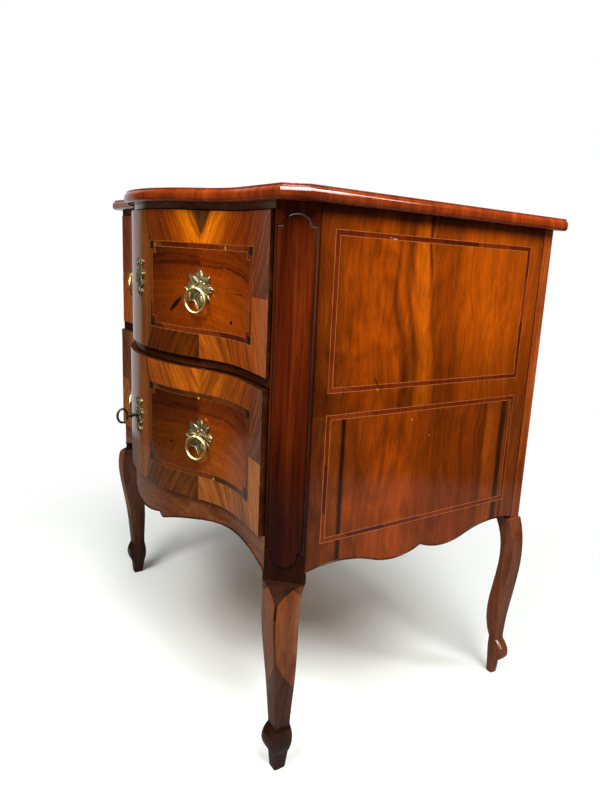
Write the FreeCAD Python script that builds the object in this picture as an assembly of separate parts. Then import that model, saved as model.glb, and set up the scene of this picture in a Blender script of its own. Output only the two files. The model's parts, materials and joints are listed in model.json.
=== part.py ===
"""A small serpentine-fronted commode: two drawers, canted corner posts and cabriole legs.

Millimetres. +X is to the right of someone facing the drawers, +Y is to the back, +Z is up.
The model is drawn about the middle of the body's depth and then moved so that the origin lies
on the floor, under the middle of its bounding box.
"""
import FreeCAD, Part
import math
import os

V = FreeCAD.Vector
os.makedirs("parts", exist_ok=True)

# Overall sizes
body_width = 745.0
body_depth = 488.0
total_height = 840.0
leg_height = 322.0

# Top board and its moulded edge
top_thickness = 19.0
top_side_overhang = 17.0
top_front_overhang = 12.0
top_rear_overhang = 13.0
top_corner_cant = 27.0
top_field_cant = 8.0
top_upper_radius = 8.0
top_lower_radius = 6.0
top_lip_height = 1.7
top_lip_setback = 4.0
top_lip_radius = 1.0
moulding_width = 34.0

# Corner posts, side panels and the raised panels on the canted faces
post_cant = 41.0
post_lap = 18.0
side_thickness = 20.0
rear_stile_width = 20.5
post_panel_width = 49.0
post_panel_arch_width = 37.0
post_panel_arch_rise = 15.0
post_panel_foot_drop = 22.0
post_panel_crown = 3.5
post_panel_edge = 1.5
post_panel_top_margin = 30.0
post_panel_foot_margin = 32.0
post_groove_width = 1.6
post_groove_depth = 2.0
post_face_turn = 45.0

# Serpentine front: a crown in the middle, a hollow each side and a gentle sweep to the ends
swell_depth = 66.0
valley_share = 0.75
crown_share = 0.65
end_sweep_radius = 960.0
front_proud = 3.0
rail_recess = 5.0
apron_recess = 3.0
apron_thickness = 24.0
apron_height = 47.9
rail_width = 44.0
rail_thickness = 14.0
top_rail_thickness = 9.5

# Scalloped lower edges, as drops below and rises above the top of the legs
side_lobe_drop = 11.5
side_bend_drop = 3.0
side_hollow_rise = 9.5
side_end_rise = 4.0
side_lobe_shares = (0.235, 0.45)
side_hollow_share = 0.77
front_centre_drop = 10.0
front_cusp_drop = 1.0
front_dip_drop = 6.0
front_turn_drop = 8.5
front_slope_rise = 13.5
front_hollow_rise = 15.5
front_shoulder_rise = 10.0
front_apron_shares = (0.196, 0.203, 0.225, 0.5, 0.71, 0.875)

# Drawers
upper_drawer_share = 0.5083
drawer_end_gap = 6.5
drawer_top_gap = 2.0
slide_clearance = 0.3
drawer_ajar = 4.0
drawer_front_thickness = 26.0
drawer_side_thickness = 12.0
drawer_side_drop = 14.0
drawer_back_drop = 22.0
drawer_bottom_thickness = 6.0
drawer_bottom_raise = 8.0
drawer_groove = 5.0
drawer_rear_gap = 14.0
dovetail_lap = 14.0
dovetail_count = 3
dovetail_neck_share = 0.42
dovetail_flare = 5.0

# Inside of the carcass
runner_width = 41.0
dust_board_thickness = 8.0
bottom_board_thickness = 8.0
guide_gap = 0.8
guide_height = 26.0
stop_length = 40.0
stop_width = 20.0
stop_height = 6.0
stop_place_share = 0.45
back_board_thickness = 10.0
back_board_count = 3
back_rebate = 12.0
back_rail_thickness = 20.0
back_rail_height = 30.0
back_rail_bottom_height = 24.0
glue_block_leg = 20.0
glue_block_length = 60.0
glue_block_place_shares = (-0.5, 0.0, 0.5)

# Legs: height, inset of the outer faces from the post's corner lines, side and cant
leg_ease = 2.0
tenon_radius = 7.5
tenon_length = 28.0
tenon_wall = 6.0
front_top_side = 46.0
front_neck_drop = 14.0
front_scoop_drop = 20.0
front_scoop_outset = 1.5
front_scoop_side = 44.0
front_scoop_cant = 20.0
front_knee_drop = 34.0
front_knee_outset = 3.5
front_knee_side = 41.0
front_ridge_cant = 2.5
front_brow_outset = 5.0
front_brow_side = 39.5
front_shin_inset = 1.0
front_shin_side = 37.0
front_calf_inset = 8.5
front_calf_side = 32.0
ankle_height = 75.0
ankle_inset = 14.0
ankle_side = 25.0
toe_height = 55.0
toe_front_inset = 5.5
toe_side_inset = 9.0
toe_depth = 36.0
toe_width = 33.5
toe_cant = 9.0
block_height = 27.0
block_inset = 15.0
block_side = 23.5
foot_inset = 17.0
foot_side = 18.5
rear_top_outset = 5.0
rear_top_rake = 2.0
rear_top_side = 38.0
rear_top_depth = 31.0
rear_knee_outset = 15.0
rear_knee_side = 30.0
rear_calf_outset = 9.0
rear_calf_side = 30.0
rear_rake = 3.0
rear_ankle_inset = 3.0
rear_ankle_rake = 4.0
rear_ankle_side = 20.0
rear_toe_outset = 12.0
rear_toe_side = 35.5
rear_block_inset = 7.0
rear_block_side = 17.0
rear_foot_inset = 9.5
rear_foot_side = 14.5
front_leg_shares = (0.30, 0.49, 0.72)
rear_leg_shares = (0.16, 0.58)

# Ring handles, escutcheons, locks and the key
handle_angle_shares = (0.95, 1.0)
handle_height_shares = (0.484, 0.5)
plate_radius = 30.0
plate_point_shares = (1.0, 0.94)
plate_notch_share = 0.66
plate_width_share = 0.88
plate_points = 8
plate_thickness = 1.8
plate_blank = 6.0
plate_seat_gap = 0.25
ring_radius = 18.0
ring_wire = 2.2
ring_stand = 8.5
ring_clearance = 0.3
staple_radius = 4.2
staple_length = 4.0
staple_stem_radius = 2.2
keyhole_height_shares = (0.512, 0.5)
escutcheon_height = 64.0
escutcheon_width = 35.0
escutcheon_thickness = 2.2
escutcheon_width_shares = (0.10, 0.36, 0.24, 0.50, 0.42, 0.46, 0.22, 0.30, 0.07)
escutcheon_height_shares = (0.47, 0.34, 0.20, 0.10, -0.06, -0.16, -0.27, -0.38, -0.47)
keyhole_radius = 3.5
keyhole_slot_width = 5.4
keyhole_slot_depth = 13.5
lock_width = 90.0
lock_depth = 14.0
lock_wall = 1.6
lock_below = 26.0
lock_top_margin = 2.0
bolt_width = 30.0
bolt_thickness = 5.0
bolt_gap = 2.0
bolt_throw = 8.0
bolt_lift_gap = 4.0
bolt_top_gap = 0.5
bolt_clearance = 0.3
mortise_clearance = 1.5
key_shank_radius = 2.75
key_bit_reach = 11.0
key_bit_length = 9.0
key_bit_thickness = 3.0
key_end_gap = 1.0
key_bow_rise = 11.6
key_bow_reach = 8.0
key_bow_wire = 1.9
key_bow_stand = 28.1
key_collar_radius = 4.4
key_collar_length = 4.0
cut_overrun = 5.0
match_tolerance = 0.01

# Places worked out from the sizes above
half_width = body_width / 2
front_y = -body_depth / 2
back_y = body_depth / 2
top_under = total_height - top_thickness
post_inner = half_width - post_cant
side_inner = half_width - side_thickness
panel_front_y = front_y + post_cant
panel_rear_y = back_y - rear_stile_width
post_back_y = panel_front_y + post_lap
rear_post_front_y = panel_rear_y - post_lap
drawer_half = post_inner - drawer_end_gap
valley_x = valley_share * drawer_half
swell_angle = 2 * math.atan(swell_depth / valley_x)
arc_sum = valley_x / math.sin(swell_angle)
crown_radius = crown_share * arc_sum
hollow_radius = arc_sum - crown_radius
end_run = drawer_half - valley_x
valley_y = front_y - front_proud + end_sweep_radius - math.sqrt(end_sweep_radius ** 2 - end_run ** 2)
crown_y = valley_y - swell_depth
crown_center = V(0, crown_y + crown_radius, 0)
hollow_center = V(valley_x, valley_y - hollow_radius, 0)
end_center = V(valley_x, valley_y - end_sweep_radius, 0)
inner_face_y = crown_y + drawer_front_thickness
rail_back_y = valley_y + rail_width
back_boards_y = back_y - back_board_thickness
back_rail_y = back_boards_y - back_rail_thickness
drawer_back_y = back_rail_y - drawer_rear_gap
runner_inner = post_inner - runner_width
top_rail_under = top_under - top_rail_thickness
lower_rail_top = leg_height + apron_height
drawer_gaps = slide_clearance + drawer_top_gap
drawer_heights = top_rail_under - lower_rail_top - rail_thickness - 2 * drawer_gaps
upper_drawer_height = upper_drawer_share * drawer_heights
lower_drawer_height = drawer_heights - upper_drawer_height
upper_drawer_z = top_rail_under - drawer_top_gap - upper_drawer_height
upper_rail_top = upper_drawer_z - slide_clearance
lower_drawer_z = lower_rail_top + slide_clearance

nodes = {}


def box(x0, x1, y0, y1, z0, z1):
    """A block between two corners, given in any order."""
    low = V(min(x0, x1), min(y0, y1), min(z0, z1))
    return Part.makeBox(abs(x1 - x0), abs(y1 - y0), abs(z1 - z0), low)


def prism(points, direction):
    """A closed polygon pushed along a direction."""
    return Part.Face(Part.makePolygon(points + [points[0]])).extrude(direction)


def outline(edges, direction):
    """A closed outline of lines and arcs pushed along a direction."""
    return Part.Face(Part.Wire(Part.__sortEdges__(edges))).extrude(direction)


def arc(start, middle, end):
    return Part.Arc(start, middle, end).toShape()


def line(start, end):
    return Part.LineSegment(start, end).toShape()


def mirrored(shape):
    """The left-hand twin of a right-hand piece."""
    return shape.mirror(V(0, 0, 0), V(1, 0, 0))


def pair(name, right):
    """A right-hand piece and its mirror image as two nodes."""
    nodes[name + "_right"] = right
    nodes[name + "_left"] = mirrored(right)


def group(name, solids):
    nodes[name] = Part.makeCompound(solids)


# The serpentine line, set back from the drawer faces by an inset


def end_point(inset, x):
    reach = end_sweep_radius + inset
    return V(x, end_center.y + math.sqrt(reach ** 2 - (x - valley_x) ** 2), 0)


def bow_edges(inset, z):
    """The crown and the hollows beside it, from valley to valley, as three tangent arcs."""
    lift = V(0, 0, z)
    half_angle = swell_angle / 2
    hollow = hollow_radius + inset
    crown = crown_radius - inset
    valley = V(valley_x, valley_y + inset, z)
    bend = crown_center + V(math.sin(swell_angle), -math.cos(swell_angle), 0) * crown + lift
    dip = hollow_center + V(-math.sin(half_angle), math.cos(half_angle), 0) * hollow + lift
    side = arc(valley, dip, bend)
    return [side, mirrored(side), arc(bend, V(0, crown_y + inset, z), V(-bend.x, bend.y, z))]


def front_edges(inset, half, z):
    """The whole serpentine, with a sweep at each end that runs on from the bow."""
    lift = V(0, 0, z)
    end = end_point(inset, half) + lift
    middle = end_point(inset, (half + valley_x) / 2) + lift
    sweep = arc(V(valley_x, valley_y + inset, z), middle, end)
    return bow_edges(inset, z) + [sweep, mirrored(sweep)]


def line_end(inset, half, z, sign):
    end = end_point(inset, half)
    return V(sign * end.x, end.y, z)


def bent_board(front_inset, back_inset, half, z0, z1):
    """A board whose two faces both follow the serpentine."""
    edges = front_edges(front_inset, half, z0) + front_edges(back_inset, half, z0)
    edges += [line(line_end(front_inset, half, z0, s), line_end(back_inset, half, z0, s)) for s in (1, -1)]
    return outline(edges, V(0, 0, z1 - z0))


def bowed_board(front_inset, rear_y, half, z0, z1):
    """A board with a serpentine front edge and a straight back edge."""
    edges = front_edges(front_inset, half, z0)
    edges += [line(line_end(front_inset, half, z0, s), V(s * half, rear_y, z0)) for s in (1, -1)]
    edges.append(line(V(half, rear_y, z0), V(-half, rear_y, z0)))
    return outline(edges, V(0, 0, z1 - z0))


# Top: a board framed on three sides by a rounded moulding


def rim(slab, z, rear):
    """The edges of a slab that lie at one level, apart from the straight one at the rear."""
    edges = []
    for edge in slab.Edges:
        limits = edge.BoundBox
        level = abs(limits.ZMin - z) < match_tolerance and abs(limits.ZMax - z) < match_tolerance
        if level and limits.YMin < rear - match_tolerance:
            edges.append(edge)
    return edges


def top_slab(setback, cant, rear, low):
    """A slab with the bow of the front, straight ends and canted corners, set in all round."""
    half = half_width + top_side_overhang - setback
    front = valley_y - top_front_overhang + setback
    edges = bow_edges(setback - top_front_overhang, low)
    for s in (1, -1):
        bow_end = V(s * valley_x, front, low)
        near = V(s * (half - cant), front, low)
        far = V(s * half, front + cant, low)
        edges += [line(bow_end, near), line(near, far), line(far, V(s * half, rear, low))]
    edges.append(line(V(half, rear, low), V(-half, rear, low)))
    return outline(edges, V(0, 0, total_height - low))


def make_top():
    """A rounded nosing with a thin lip set back above it, cut into the board and its frame of mouldings."""
    rear = back_y + top_rear_overhang
    nosing_top = total_height - top_lip_height
    reach = half_width + top_side_overhang + cut_overrun
    nosing = top_slab(0, top_corner_cant, rear, top_under)
    nosing = nosing.common(box(-reach, reach, crown_y - reach, reach, top_under, nosing_top))
    nosing = nosing.makeFillet(top_upper_radius, rim(nosing, nosing_top, rear))
    nosing = nosing.makeFillet(top_lower_radius, rim(nosing, top_under, rear))
    lip_cant = top_corner_cant - (2 - math.sqrt(2)) * top_lip_setback
    lip = top_slab(top_lip_setback, lip_cant, rear, nosing_top - top_lip_height)
    lip = lip.makeFillet(top_lip_radius, rim(lip, total_height, rear))
    slab = nosing.fuse(lip).removeSplitter()
    field = top_slab(moulding_width, top_field_cant, rear + cut_overrun, top_under)
    nodes["top_board"] = slab.common(field)
    frame = slab.cut(field)
    seam_y = panel_front_y
    nodes["top_moulding_front"] = frame.common(box(-reach, reach, crown_y - reach, seam_y, 0, total_height))
    pair("top_moulding", frame.common(box(0, reach, seam_y, rear + cut_overrun, 0, total_height)))


# Carcass corners and sides


def make_side_panel():
    middle = (panel_front_y + panel_rear_y) / 2
    half = (panel_rear_y - panel_front_y) / 2
    lobe, bend = side_lobe_shares

    def at(share, rise):
        return V(side_inner, middle + share * half, leg_height + rise)

    edges = []
    for s in (1, -1):
        cusp = at(0, 0)
        turn = at(s * bend, -side_bend_drop)
        end = at(s, side_end_rise)
        edges.append(arc(cusp, at(s * lobe, -side_lobe_drop), turn))
        edges.append(arc(turn, at(s * side_hollow_share, side_hollow_rise), end))
        edges.append(line(end, V(side_inner, end.y, top_under)))
    edges.append(line(V(side_inner, panel_front_y, top_under), V(side_inner, panel_rear_y, top_under)))
    pair("side_panel", outline(edges, V(side_thickness, 0, 0)))


def front_tenon():
    """The round tenon of a front leg, set a wall's thickness behind the canted face of the post."""
    inset = post_cant / 2 + (tenon_wall + tenon_radius) / math.sqrt(2)
    return Part.makeCylinder(tenon_radius, tenon_length, V(half_width - inset, front_y + inset, leg_height))


def rear_tenon():
    """The round tenon of a rear leg, in the middle of the rear post's stile."""
    spot = V(side_inner, back_y - rear_stile_width / 2, leg_height)
    return Part.makeCylinder(tenon_radius, tenon_length, spot)


def post_panel_wire():
    """The arched outline of a post's panel, drawn flat about the middle of the post's face."""
    half = post_panel_width / 2
    arch = post_panel_arch_width / 2
    low = leg_height + post_panel_foot_margin
    high = top_under - post_panel_top_margin
    edges = []
    for s in (1, -1):
        edges.append(line(V(s * half, 0, low), V(s * half, 0, high)))
        edges.append(line(V(s * half, 0, high), V(s * arch, 0, high)))
        edges.append(line(V(s * half, 0, low), V(s * arch, 0, low)))
    edges.append(arc(V(arch, 0, high), V(0, 0, high + post_panel_arch_rise), V(-arch, 0, high)))
    edges.append(arc(V(arch, 0, low), V(0, 0, low - post_panel_foot_drop), V(-arch, 0, low)))
    return Part.Wire(Part.__sortEdges__(edges))


def on_post_face(shape):
    """Turns a shape that is drawn flat on to the canted face of the right-hand front post."""
    shape.rotate(V(0, 0, 0), V(0, 0, 1), post_face_turn)
    shape.translate(V(half_width - post_cant / 2, front_y + post_cant / 2, 0))
    return shape


def make_front_post():
    """A canted post with a recess that takes its panel and leaves a groove all round it."""
    plan = [(half_width, panel_front_y), (side_inner, panel_front_y), (side_inner, post_back_y),
            (post_inner, post_back_y), (post_inner, front_y)]
    post = prism([V(x, y, leg_height) for x, y in plan], V(0, 0, top_under - leg_height))
    recess = Part.Face(post_panel_wire().makeOffset2D(post_groove_width))
    recess = recess.extrude(V(0, cut_overrun + post_groove_depth, 0))
    recess.translate(V(0, -cut_overrun, 0))
    pair("front_post", post.cut([front_tenon(), on_post_face(recess)]))


def make_post_panel():
    """A raised panel with arched ends, bedded in the post and swelling outwards across its width."""
    rise = post_panel_crown + post_panel_edge
    slab = Part.Face(post_panel_wire()).extrude(V(0, -rise - post_groove_depth, 0))
    slab.translate(V(0, post_groove_depth, 0))
    half = post_panel_width / 2
    radius = (half ** 2 + post_panel_crown ** 2) / (2 * post_panel_crown)
    swell = Part.makeCylinder(radius, total_height, V(0, radius - rise, 0))
    pair("post_panel", on_post_face(slab.common(swell)))


def make_rear_post():
    plan = [(half_width, panel_rear_y), (side_inner, panel_rear_y), (side_inner, rear_post_front_y),
            (post_inner, rear_post_front_y), (post_inner, back_y), (half_width, back_y)]
    post = prism([V(x, y, leg_height) for x, y in plan], V(0, 0, top_under - leg_height))
    reach = post_inner + back_rebate
    post = post.cut(box(post_inner, reach, back_boards_y, back_y, leg_height, top_under))
    pair("rear_post", post.cut(rear_tenon()))


# Legs: lofts through eased squares that hang from the corner of the post above


def leg_section(z, inset_x, inset_y, side_x, side_y, cant, corner_y, turn):
    """A square seen from its outer corner; turn is 1 where the leg runs back from corner_y."""
    far_x = inset_x + side_x
    far_y = inset_y + side_y
    e = leg_ease
    steps = [(inset_x + cant, inset_y), (far_x - e, inset_y), (far_x, inset_y + e), (far_x, far_y - e),
             (far_x - e, far_y), (inset_x + e, far_y), (inset_x, far_y - e), (inset_x, inset_y + cant)]
    points = [V(half_width - p, corner_y + turn * q, z) for p, q in steps]
    return Part.makePolygon(points + [points[0]])


def loft(sections):
    return Part.makeLoft(sections, True, False)


def make_front_leg():
    """Canted like the post at its neck, then scooped out to a ridged knee, and ending in a toe on a block."""
    ridge = front_ridge_cant

    def at(z, inset, side, cant):
        return leg_section(z, inset, inset, side, side, cant, front_y, 1)

    fall = leg_height - ankle_height
    brow_z, shin_z, calf_z = [leg_height - share * fall for share in front_leg_shares]
    top = at(leg_height, 0, front_top_side, post_cant)
    neck = at(leg_height - front_neck_drop, 0, front_top_side, post_cant)
    scoop = at(leg_height - front_scoop_drop, -front_scoop_outset, front_scoop_side, front_scoop_cant)
    knee = at(leg_height - front_knee_drop, -front_knee_outset, front_knee_side, ridge)
    brow = at(brow_z, -front_brow_outset, front_brow_side, ridge)
    shin = at(shin_z, front_shin_inset, front_shin_side, ridge)
    calf = at(calf_z, front_calf_inset, front_calf_side, ridge)
    ankle = at(ankle_height, ankle_inset, ankle_side, ridge)
    toe = leg_section(toe_height, toe_side_inset, toe_front_inset, toe_width, toe_depth, toe_cant, front_y, 1)
    block = at(block_height, block_inset, block_side, ridge)
    foot = at(0, foot_inset, foot_side, leg_ease)
    stretches = ([top, neck], [neck, scoop, knee], [knee, brow, shin, calf, ankle], [ankle, toe, block],
                 [block, foot])
    first, *rest = [loft(sections) for sections in stretches]
    pair("front_leg", first.fuse(rest + [front_tenon()]).removeSplitter())


def make_rear_leg():
    """Swelling to the side at the knee and raking back a little, with its toe turned outwards."""

    def at(z, outset, rake, side_x, side_y):
        return leg_section(z, -outset, -rake, side_x, side_y, leg_ease, back_y, -1)

    fall = leg_height - ankle_height
    knee_z, calf_z = [leg_height - share * fall for share in rear_leg_shares]
    top = at(leg_height, rear_top_outset, rear_top_rake, rear_top_side, rear_top_depth)
    knee = at(knee_z, rear_knee_outset, rear_rake, rear_knee_side, rear_knee_side)
    calf = at(calf_z, rear_calf_outset, rear_rake, rear_calf_side, rear_calf_side)
    ankle = at(ankle_height, -rear_ankle_inset, rear_ankle_rake, rear_ankle_side, rear_ankle_side)
    toe = at(toe_height, rear_toe_outset, rear_ankle_rake, rear_toe_side, rear_ankle_side)
    block = at(block_height, -rear_block_inset, rear_ankle_rake, rear_block_side, rear_block_side)
    foot = at(0, -rear_foot_inset, rear_rake, rear_foot_side, rear_foot_side)
    stretches = ([top, knee, calf, ankle], [ankle, toe, block], [block, foot])
    first, *rest = [loft(sections) for sections in stretches]
    pair("rear_leg", first.fuse(rest + [rear_tenon()]).removeSplitter())


# Rails, apron and the boards inside


def strike_mortise(rail_under):
    """The slot in a rail that takes a thrown bolt, long enough for a drawer that stands ajar."""
    near = inner_face_y + bolt_gap - drawer_ajar - mortise_clearance
    far = inner_face_y + bolt_gap + bolt_thickness + mortise_clearance
    half = bolt_width / 2 + mortise_clearance
    depth = bolt_throw - bolt_top_gap - drawer_top_gap + mortise_clearance
    return box(-half, half, near, far, rail_under - cut_overrun, rail_under + depth)


def make_rails():
    top_rail = bowed_board(rail_recess, rail_back_y, post_inner, top_rail_under, top_under)
    nodes["front_top_rail"] = top_rail.cut(strike_mortise(top_rail_under))
    under = upper_rail_top - rail_thickness
    middle = bowed_board(rail_recess, rail_back_y, post_inner, under, upper_rail_top)
    nodes["front_mid_rail"] = middle.cut(strike_mortise(under))
    apron_back = apron_recess + apron_thickness
    nodes["front_bottom_rail"] = bowed_board(
        apron_back, rail_back_y, post_inner, lower_rail_top - rail_thickness, lower_rail_top)
    board_top = lower_rail_top - rail_thickness
    nodes["bottom_board"] = bowed_board(
        apron_back, back_rail_y, post_inner, board_top - bottom_board_thickness, board_top)


def make_apron():
    """A serpentine board whose lower edge has a centre lobe, and a cusp, a dip and a long sweep each side."""
    back = apron_recess + apron_thickness
    low = leg_height - front_centre_drop - cut_overrun
    blank = bent_board(apron_recess, back, post_inner, low, lower_rail_top)
    reach = crown_y - cut_overrun
    cusp, dip, bend, slope, hollow, shoulder = front_apron_shares

    def at(share, rise):
        return V(share * post_inner, reach, leg_height + rise)

    edges = [arc(at(cusp, -front_cusp_drop), at(0, -front_centre_drop), at(-cusp, -front_cusp_drop))]
    for s in (1, -1):
        point = at(s * cusp, -front_cusp_drop)
        turn = at(s * bend, -front_turn_drop)
        rest = at(s * hollow, front_hollow_rise)
        end = at(s, 0)
        edges.append(arc(point, at(s * dip, -front_dip_drop), turn))
        edges.append(arc(turn, at(s * slope, front_slope_rise), rest))
        edges.append(arc(rest, at(s * shoulder, front_shoulder_rise), end))
        edges.append(line(end, V(s * post_inner, reach, lower_rail_top)))
    edges.append(line(V(post_inner, reach, lower_rail_top), V(-post_inner, reach, lower_rail_top)))
    nodes["front_apron"] = blank.common(outline(edges, V(0, back_y - reach, 0)))


def make_inside():
    under = upper_rail_top - rail_thickness
    runner = box(runner_inner, post_inner, rail_back_y, back_boards_y, under, upper_rail_top)
    group("runners_upper", [runner, mirrored(runner)])
    lower_under = lower_rail_top - rail_thickness
    runner = box(runner_inner, post_inner, rail_back_y, back_rail_y, lower_under, lower_rail_top)
    group("runners_lower", [runner, mirrored(runner)])
    kicker = box(runner_inner, post_inner, rail_back_y, back_rail_y, top_rail_under, top_under)
    group("kickers", [kicker, mirrored(kicker)])
    dust_under = under + (rail_thickness - dust_board_thickness) / 2
    nodes["dust_board"] = box(-runner_inner, runner_inner, rail_back_y, back_boards_y, dust_under,
                              dust_under + dust_board_thickness)
    guide_x = drawer_half + guide_gap
    guides = []
    stops = []
    stop_x = stop_place_share * drawer_half
    for level in (upper_rail_top, lower_rail_top):
        guide = box(guide_x, side_inner, post_back_y, rear_post_front_y, level, level + guide_height)
        guides += [guide, mirrored(guide)]
        seat = drawer_front_thickness + slide_clearance
        strip = bent_board(seat, seat + stop_width, drawer_half, level, level + stop_height)
        near = stop_x - stop_length / 2
        stop = strip.common(box(near, near + stop_length, crown_y, back_y, 0, total_height))
        stops += [stop, mirrored(stop)]
    group("drawer_guides", guides)
    group("drawer_stops", stops)
    blocks = []
    middle = (rear_post_front_y + post_back_y) / 2
    reach = (rear_post_front_y - post_back_y) / 2
    for share in glue_block_place_shares:
        y = middle + share * reach - glue_block_length / 2
        corner = [V(side_inner, y, top_under), V(side_inner, y, top_under - glue_block_leg),
                  V(side_inner - glue_block_leg, y, top_under)]
        block = prism(corner, V(0, glue_block_length, 0))
        blocks += [block, mirrored(block)]
    group("glue_blocks", blocks)


def make_back():
    nodes["back_rail_top"] = box(-post_inner, post_inner, back_rail_y, back_boards_y,
                                 top_under - back_rail_height, top_under)
    low = lower_rail_top - back_rail_bottom_height
    nodes["back_rail_bottom"] = box(-post_inner, post_inner, back_rail_y, back_boards_y, low, lower_rail_top)
    half = post_inner + back_rebate
    step = (top_under - leg_height) / back_board_count
    levels = [leg_height + i * step for i in range(back_board_count)]
    group("back_boards", [box(-half, half, back_boards_y, back_y, low, low + step) for low in levels])


# Drawers


def keyhole(z, y0, y1):
    """A round hole with a slot below it, pushed from y0 to y1."""
    hole = Part.makeCylinder(keyhole_radius, y1 - y0, V(0, y0, z), V(0, 1, 0))
    half = keyhole_slot_width / 2
    return hole.fuse(box(-half, half, y0, y1, z - keyhole_slot_depth, z))


def dovetails(x0, x1, y0, y1, z0, z1):
    """Tails that widen towards the front, spread evenly up a drawer side."""
    pitch = (z1 - z0) / dovetail_count
    neck = dovetail_neck_share * pitch / 2
    tails = []
    for i in range(dovetail_count):
        middle = z0 + (i + 1 / 2) * pitch
        tip = neck + dovetail_flare
        corners = [V(x0, y1, middle - neck), V(x0, y1, middle + neck),
                   V(x0, y0, middle + tip), V(x0, y0, middle - tip)]
        tails.append(prism(corners, V(x1 - x0, 0, 0)))
    return tails


def make_drawer_box(name, z, height, key_z):
    side_x = drawer_half - drawer_side_thickness
    side_top = z + height - drawer_side_drop
    front = bent_board(0, drawer_front_thickness, drawer_half, z, z + height)
    side = box(side_x, drawer_half, valley_y, drawer_back_y, z, side_top).cut(front)
    lap_y = end_point(drawer_front_thickness, drawer_half).y
    tails = dovetails(side_x, drawer_half, lap_y - dovetail_lap, lap_y + cut_overrun, z, side_top)
    bottom_z = z + drawer_bottom_raise
    bottom_top = bottom_z + drawer_bottom_thickness
    bottom = bowed_board(drawer_front_thickness - drawer_groove, drawer_back_y, side_x + drawer_groove,
                         bottom_z, bottom_top)
    side = side.fuse(tails).removeSplitter().cut(bottom)
    for tail in tails:
        front = front.cut([tail, mirrored(tail)])
    front = front.cut(bottom)
    nodes[name + "_drawer_back"] = box(-side_x, side_x, drawer_back_y - drawer_side_thickness, drawer_back_y,
                                       bottom_top, z + height - drawer_back_drop)
    nodes[name + "_drawer_bottom"] = bottom
    pair(name + "_drawer_side", side)
    lock_top = z + height - lock_top_margin
    seat = box(-lock_width / 2, lock_width / 2, inner_face_y, back_y, key_z - lock_below, lock_top)
    front = front.cut([seat, keyhole(key_z, crown_y - cut_overrun, back_y)])
    nodes[name + "_drawer_front"] = front


def make_lock(name, z, height, key_z):
    top = z + height - lock_top_margin
    half = lock_width / 2
    rear = inner_face_y + lock_depth
    case = box(-half, half, inner_face_y, rear, key_z - lock_below, top)
    hollow = box(lock_wall - half, half - lock_wall, inner_face_y, rear - lock_wall,
                 key_z - lock_below + lock_wall, top - lock_wall)
    bolt_y = inner_face_y + bolt_gap
    reach = bolt_width / 2 + bolt_clearance
    bolt_rear = bolt_y + bolt_thickness
    slot = box(-reach, reach, bolt_y - bolt_clearance, bolt_rear + bolt_clearance, key_z, top + cut_overrun)
    nodes[name + "_lock"] = case.cut([hollow, slot])
    nodes[name + "_lock_bolt"] = box(-bolt_width / 2, bolt_width / 2, bolt_y, bolt_rear,
                                     key_z + bolt_lift_gap, z + height - bolt_top_gap)


def bent_sheet(blank, thickness):
    """The part of a thick blank that makes a thin sheet lying just clear of the drawer's face."""
    limits = blank.BoundBox
    low = limits.ZMin - cut_overrun
    high = limits.ZMax + cut_overrun
    outer = thickness + plate_seat_gap
    return blank.common(bent_board(-outer, -plate_seat_gap, drawer_half, low, high))


def make_escutcheon(name, key_z):
    """A scrolled keyhole plate, bent to the crown of the drawer."""
    sides = list(zip(escutcheon_width_shares, escutcheon_height_shares))
    ring = [V(w * escutcheon_width, 0, h * escutcheon_height) for w, h in sides]
    ring += [V(-w * escutcheon_width, 0, h * escutcheon_height) for w, h in reversed(sides)]
    curve = Part.BSplineCurve()
    curve.interpolate(ring, PeriodicFlag=True)
    blank = Part.Face(Part.Wire(curve.toShape())).extrude(V(0, 2 * plate_blank, 0))
    blank.translate(V(0, crown_y - plate_blank, key_z))
    plate = bent_sheet(blank, escutcheon_thickness)
    nodes[name + "_escutcheon"] = plate.cut(keyhole(key_z, crown_y - cut_overrun, crown_y + cut_overrun))


def star_blank():
    """An eight-pointed star, thick enough to be bent to the drawer's face."""
    corners = []
    for i in range(2 * plate_points):
        turn = math.pi / 2 + i * math.pi / plate_points
        share = plate_notch_share if i % 2 else plate_point_shares[(i // 2) % len(plate_point_shares)]
        corners.append(V(plate_width_share * math.cos(turn), 0, math.sin(turn)) * (share * plate_radius))
    blank = prism(corners, V(0, 2 * plate_blank, 0))
    blank.translate(V(0, -plate_blank, 0))
    return blank


def make_handles(name, ring_z, angle):
    """Star plates with an eye each, and the rings that hang in the eyes."""
    hole = ring_wire + ring_clearance
    stand = V(0, -ring_stand, 0)
    across = V(1, 0, 0)
    eye = Part.makeCylinder(staple_radius, staple_length, stand - across * (staple_length / 2), across)
    stem_length = ring_stand - plate_thickness - plate_seat_gap
    stem = Part.makeCylinder(staple_stem_radius, stem_length, stand, V(0, 1, 0))
    bore = Part.makeCylinder(hole, 2 * staple_length, stand - across * staple_length, across)
    staple = eye.fuse(stem).removeSplitter().cut(bore)
    ring = Part.makeTorus(ring_radius, ring_wire, V(0, -ring_stand, -ring_radius), V(0, 1, 0))
    spot = crown_center + V(math.sin(angle), -math.cos(angle), 0) * crown_radius
    spot = V(spot.x, spot.y, ring_z)
    placed = []
    for shape in (star_blank(), staple, ring):
        shape.rotate(V(0, 0, 0), V(0, 0, 1), math.degrees(angle))
        shape.translate(spot)
        placed.append(shape)
    pair(name + "_backplate", bent_sheet(placed[0], plate_thickness))
    group(name + "_ring_staples", [placed[1], mirrored(placed[1])])
    pair(name + "_ring", placed[2])
    out = V(math.sin(angle), -math.cos(angle), 0)
    return spot + out * ring_stand, V(math.cos(angle), math.sin(angle), 0)


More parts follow.
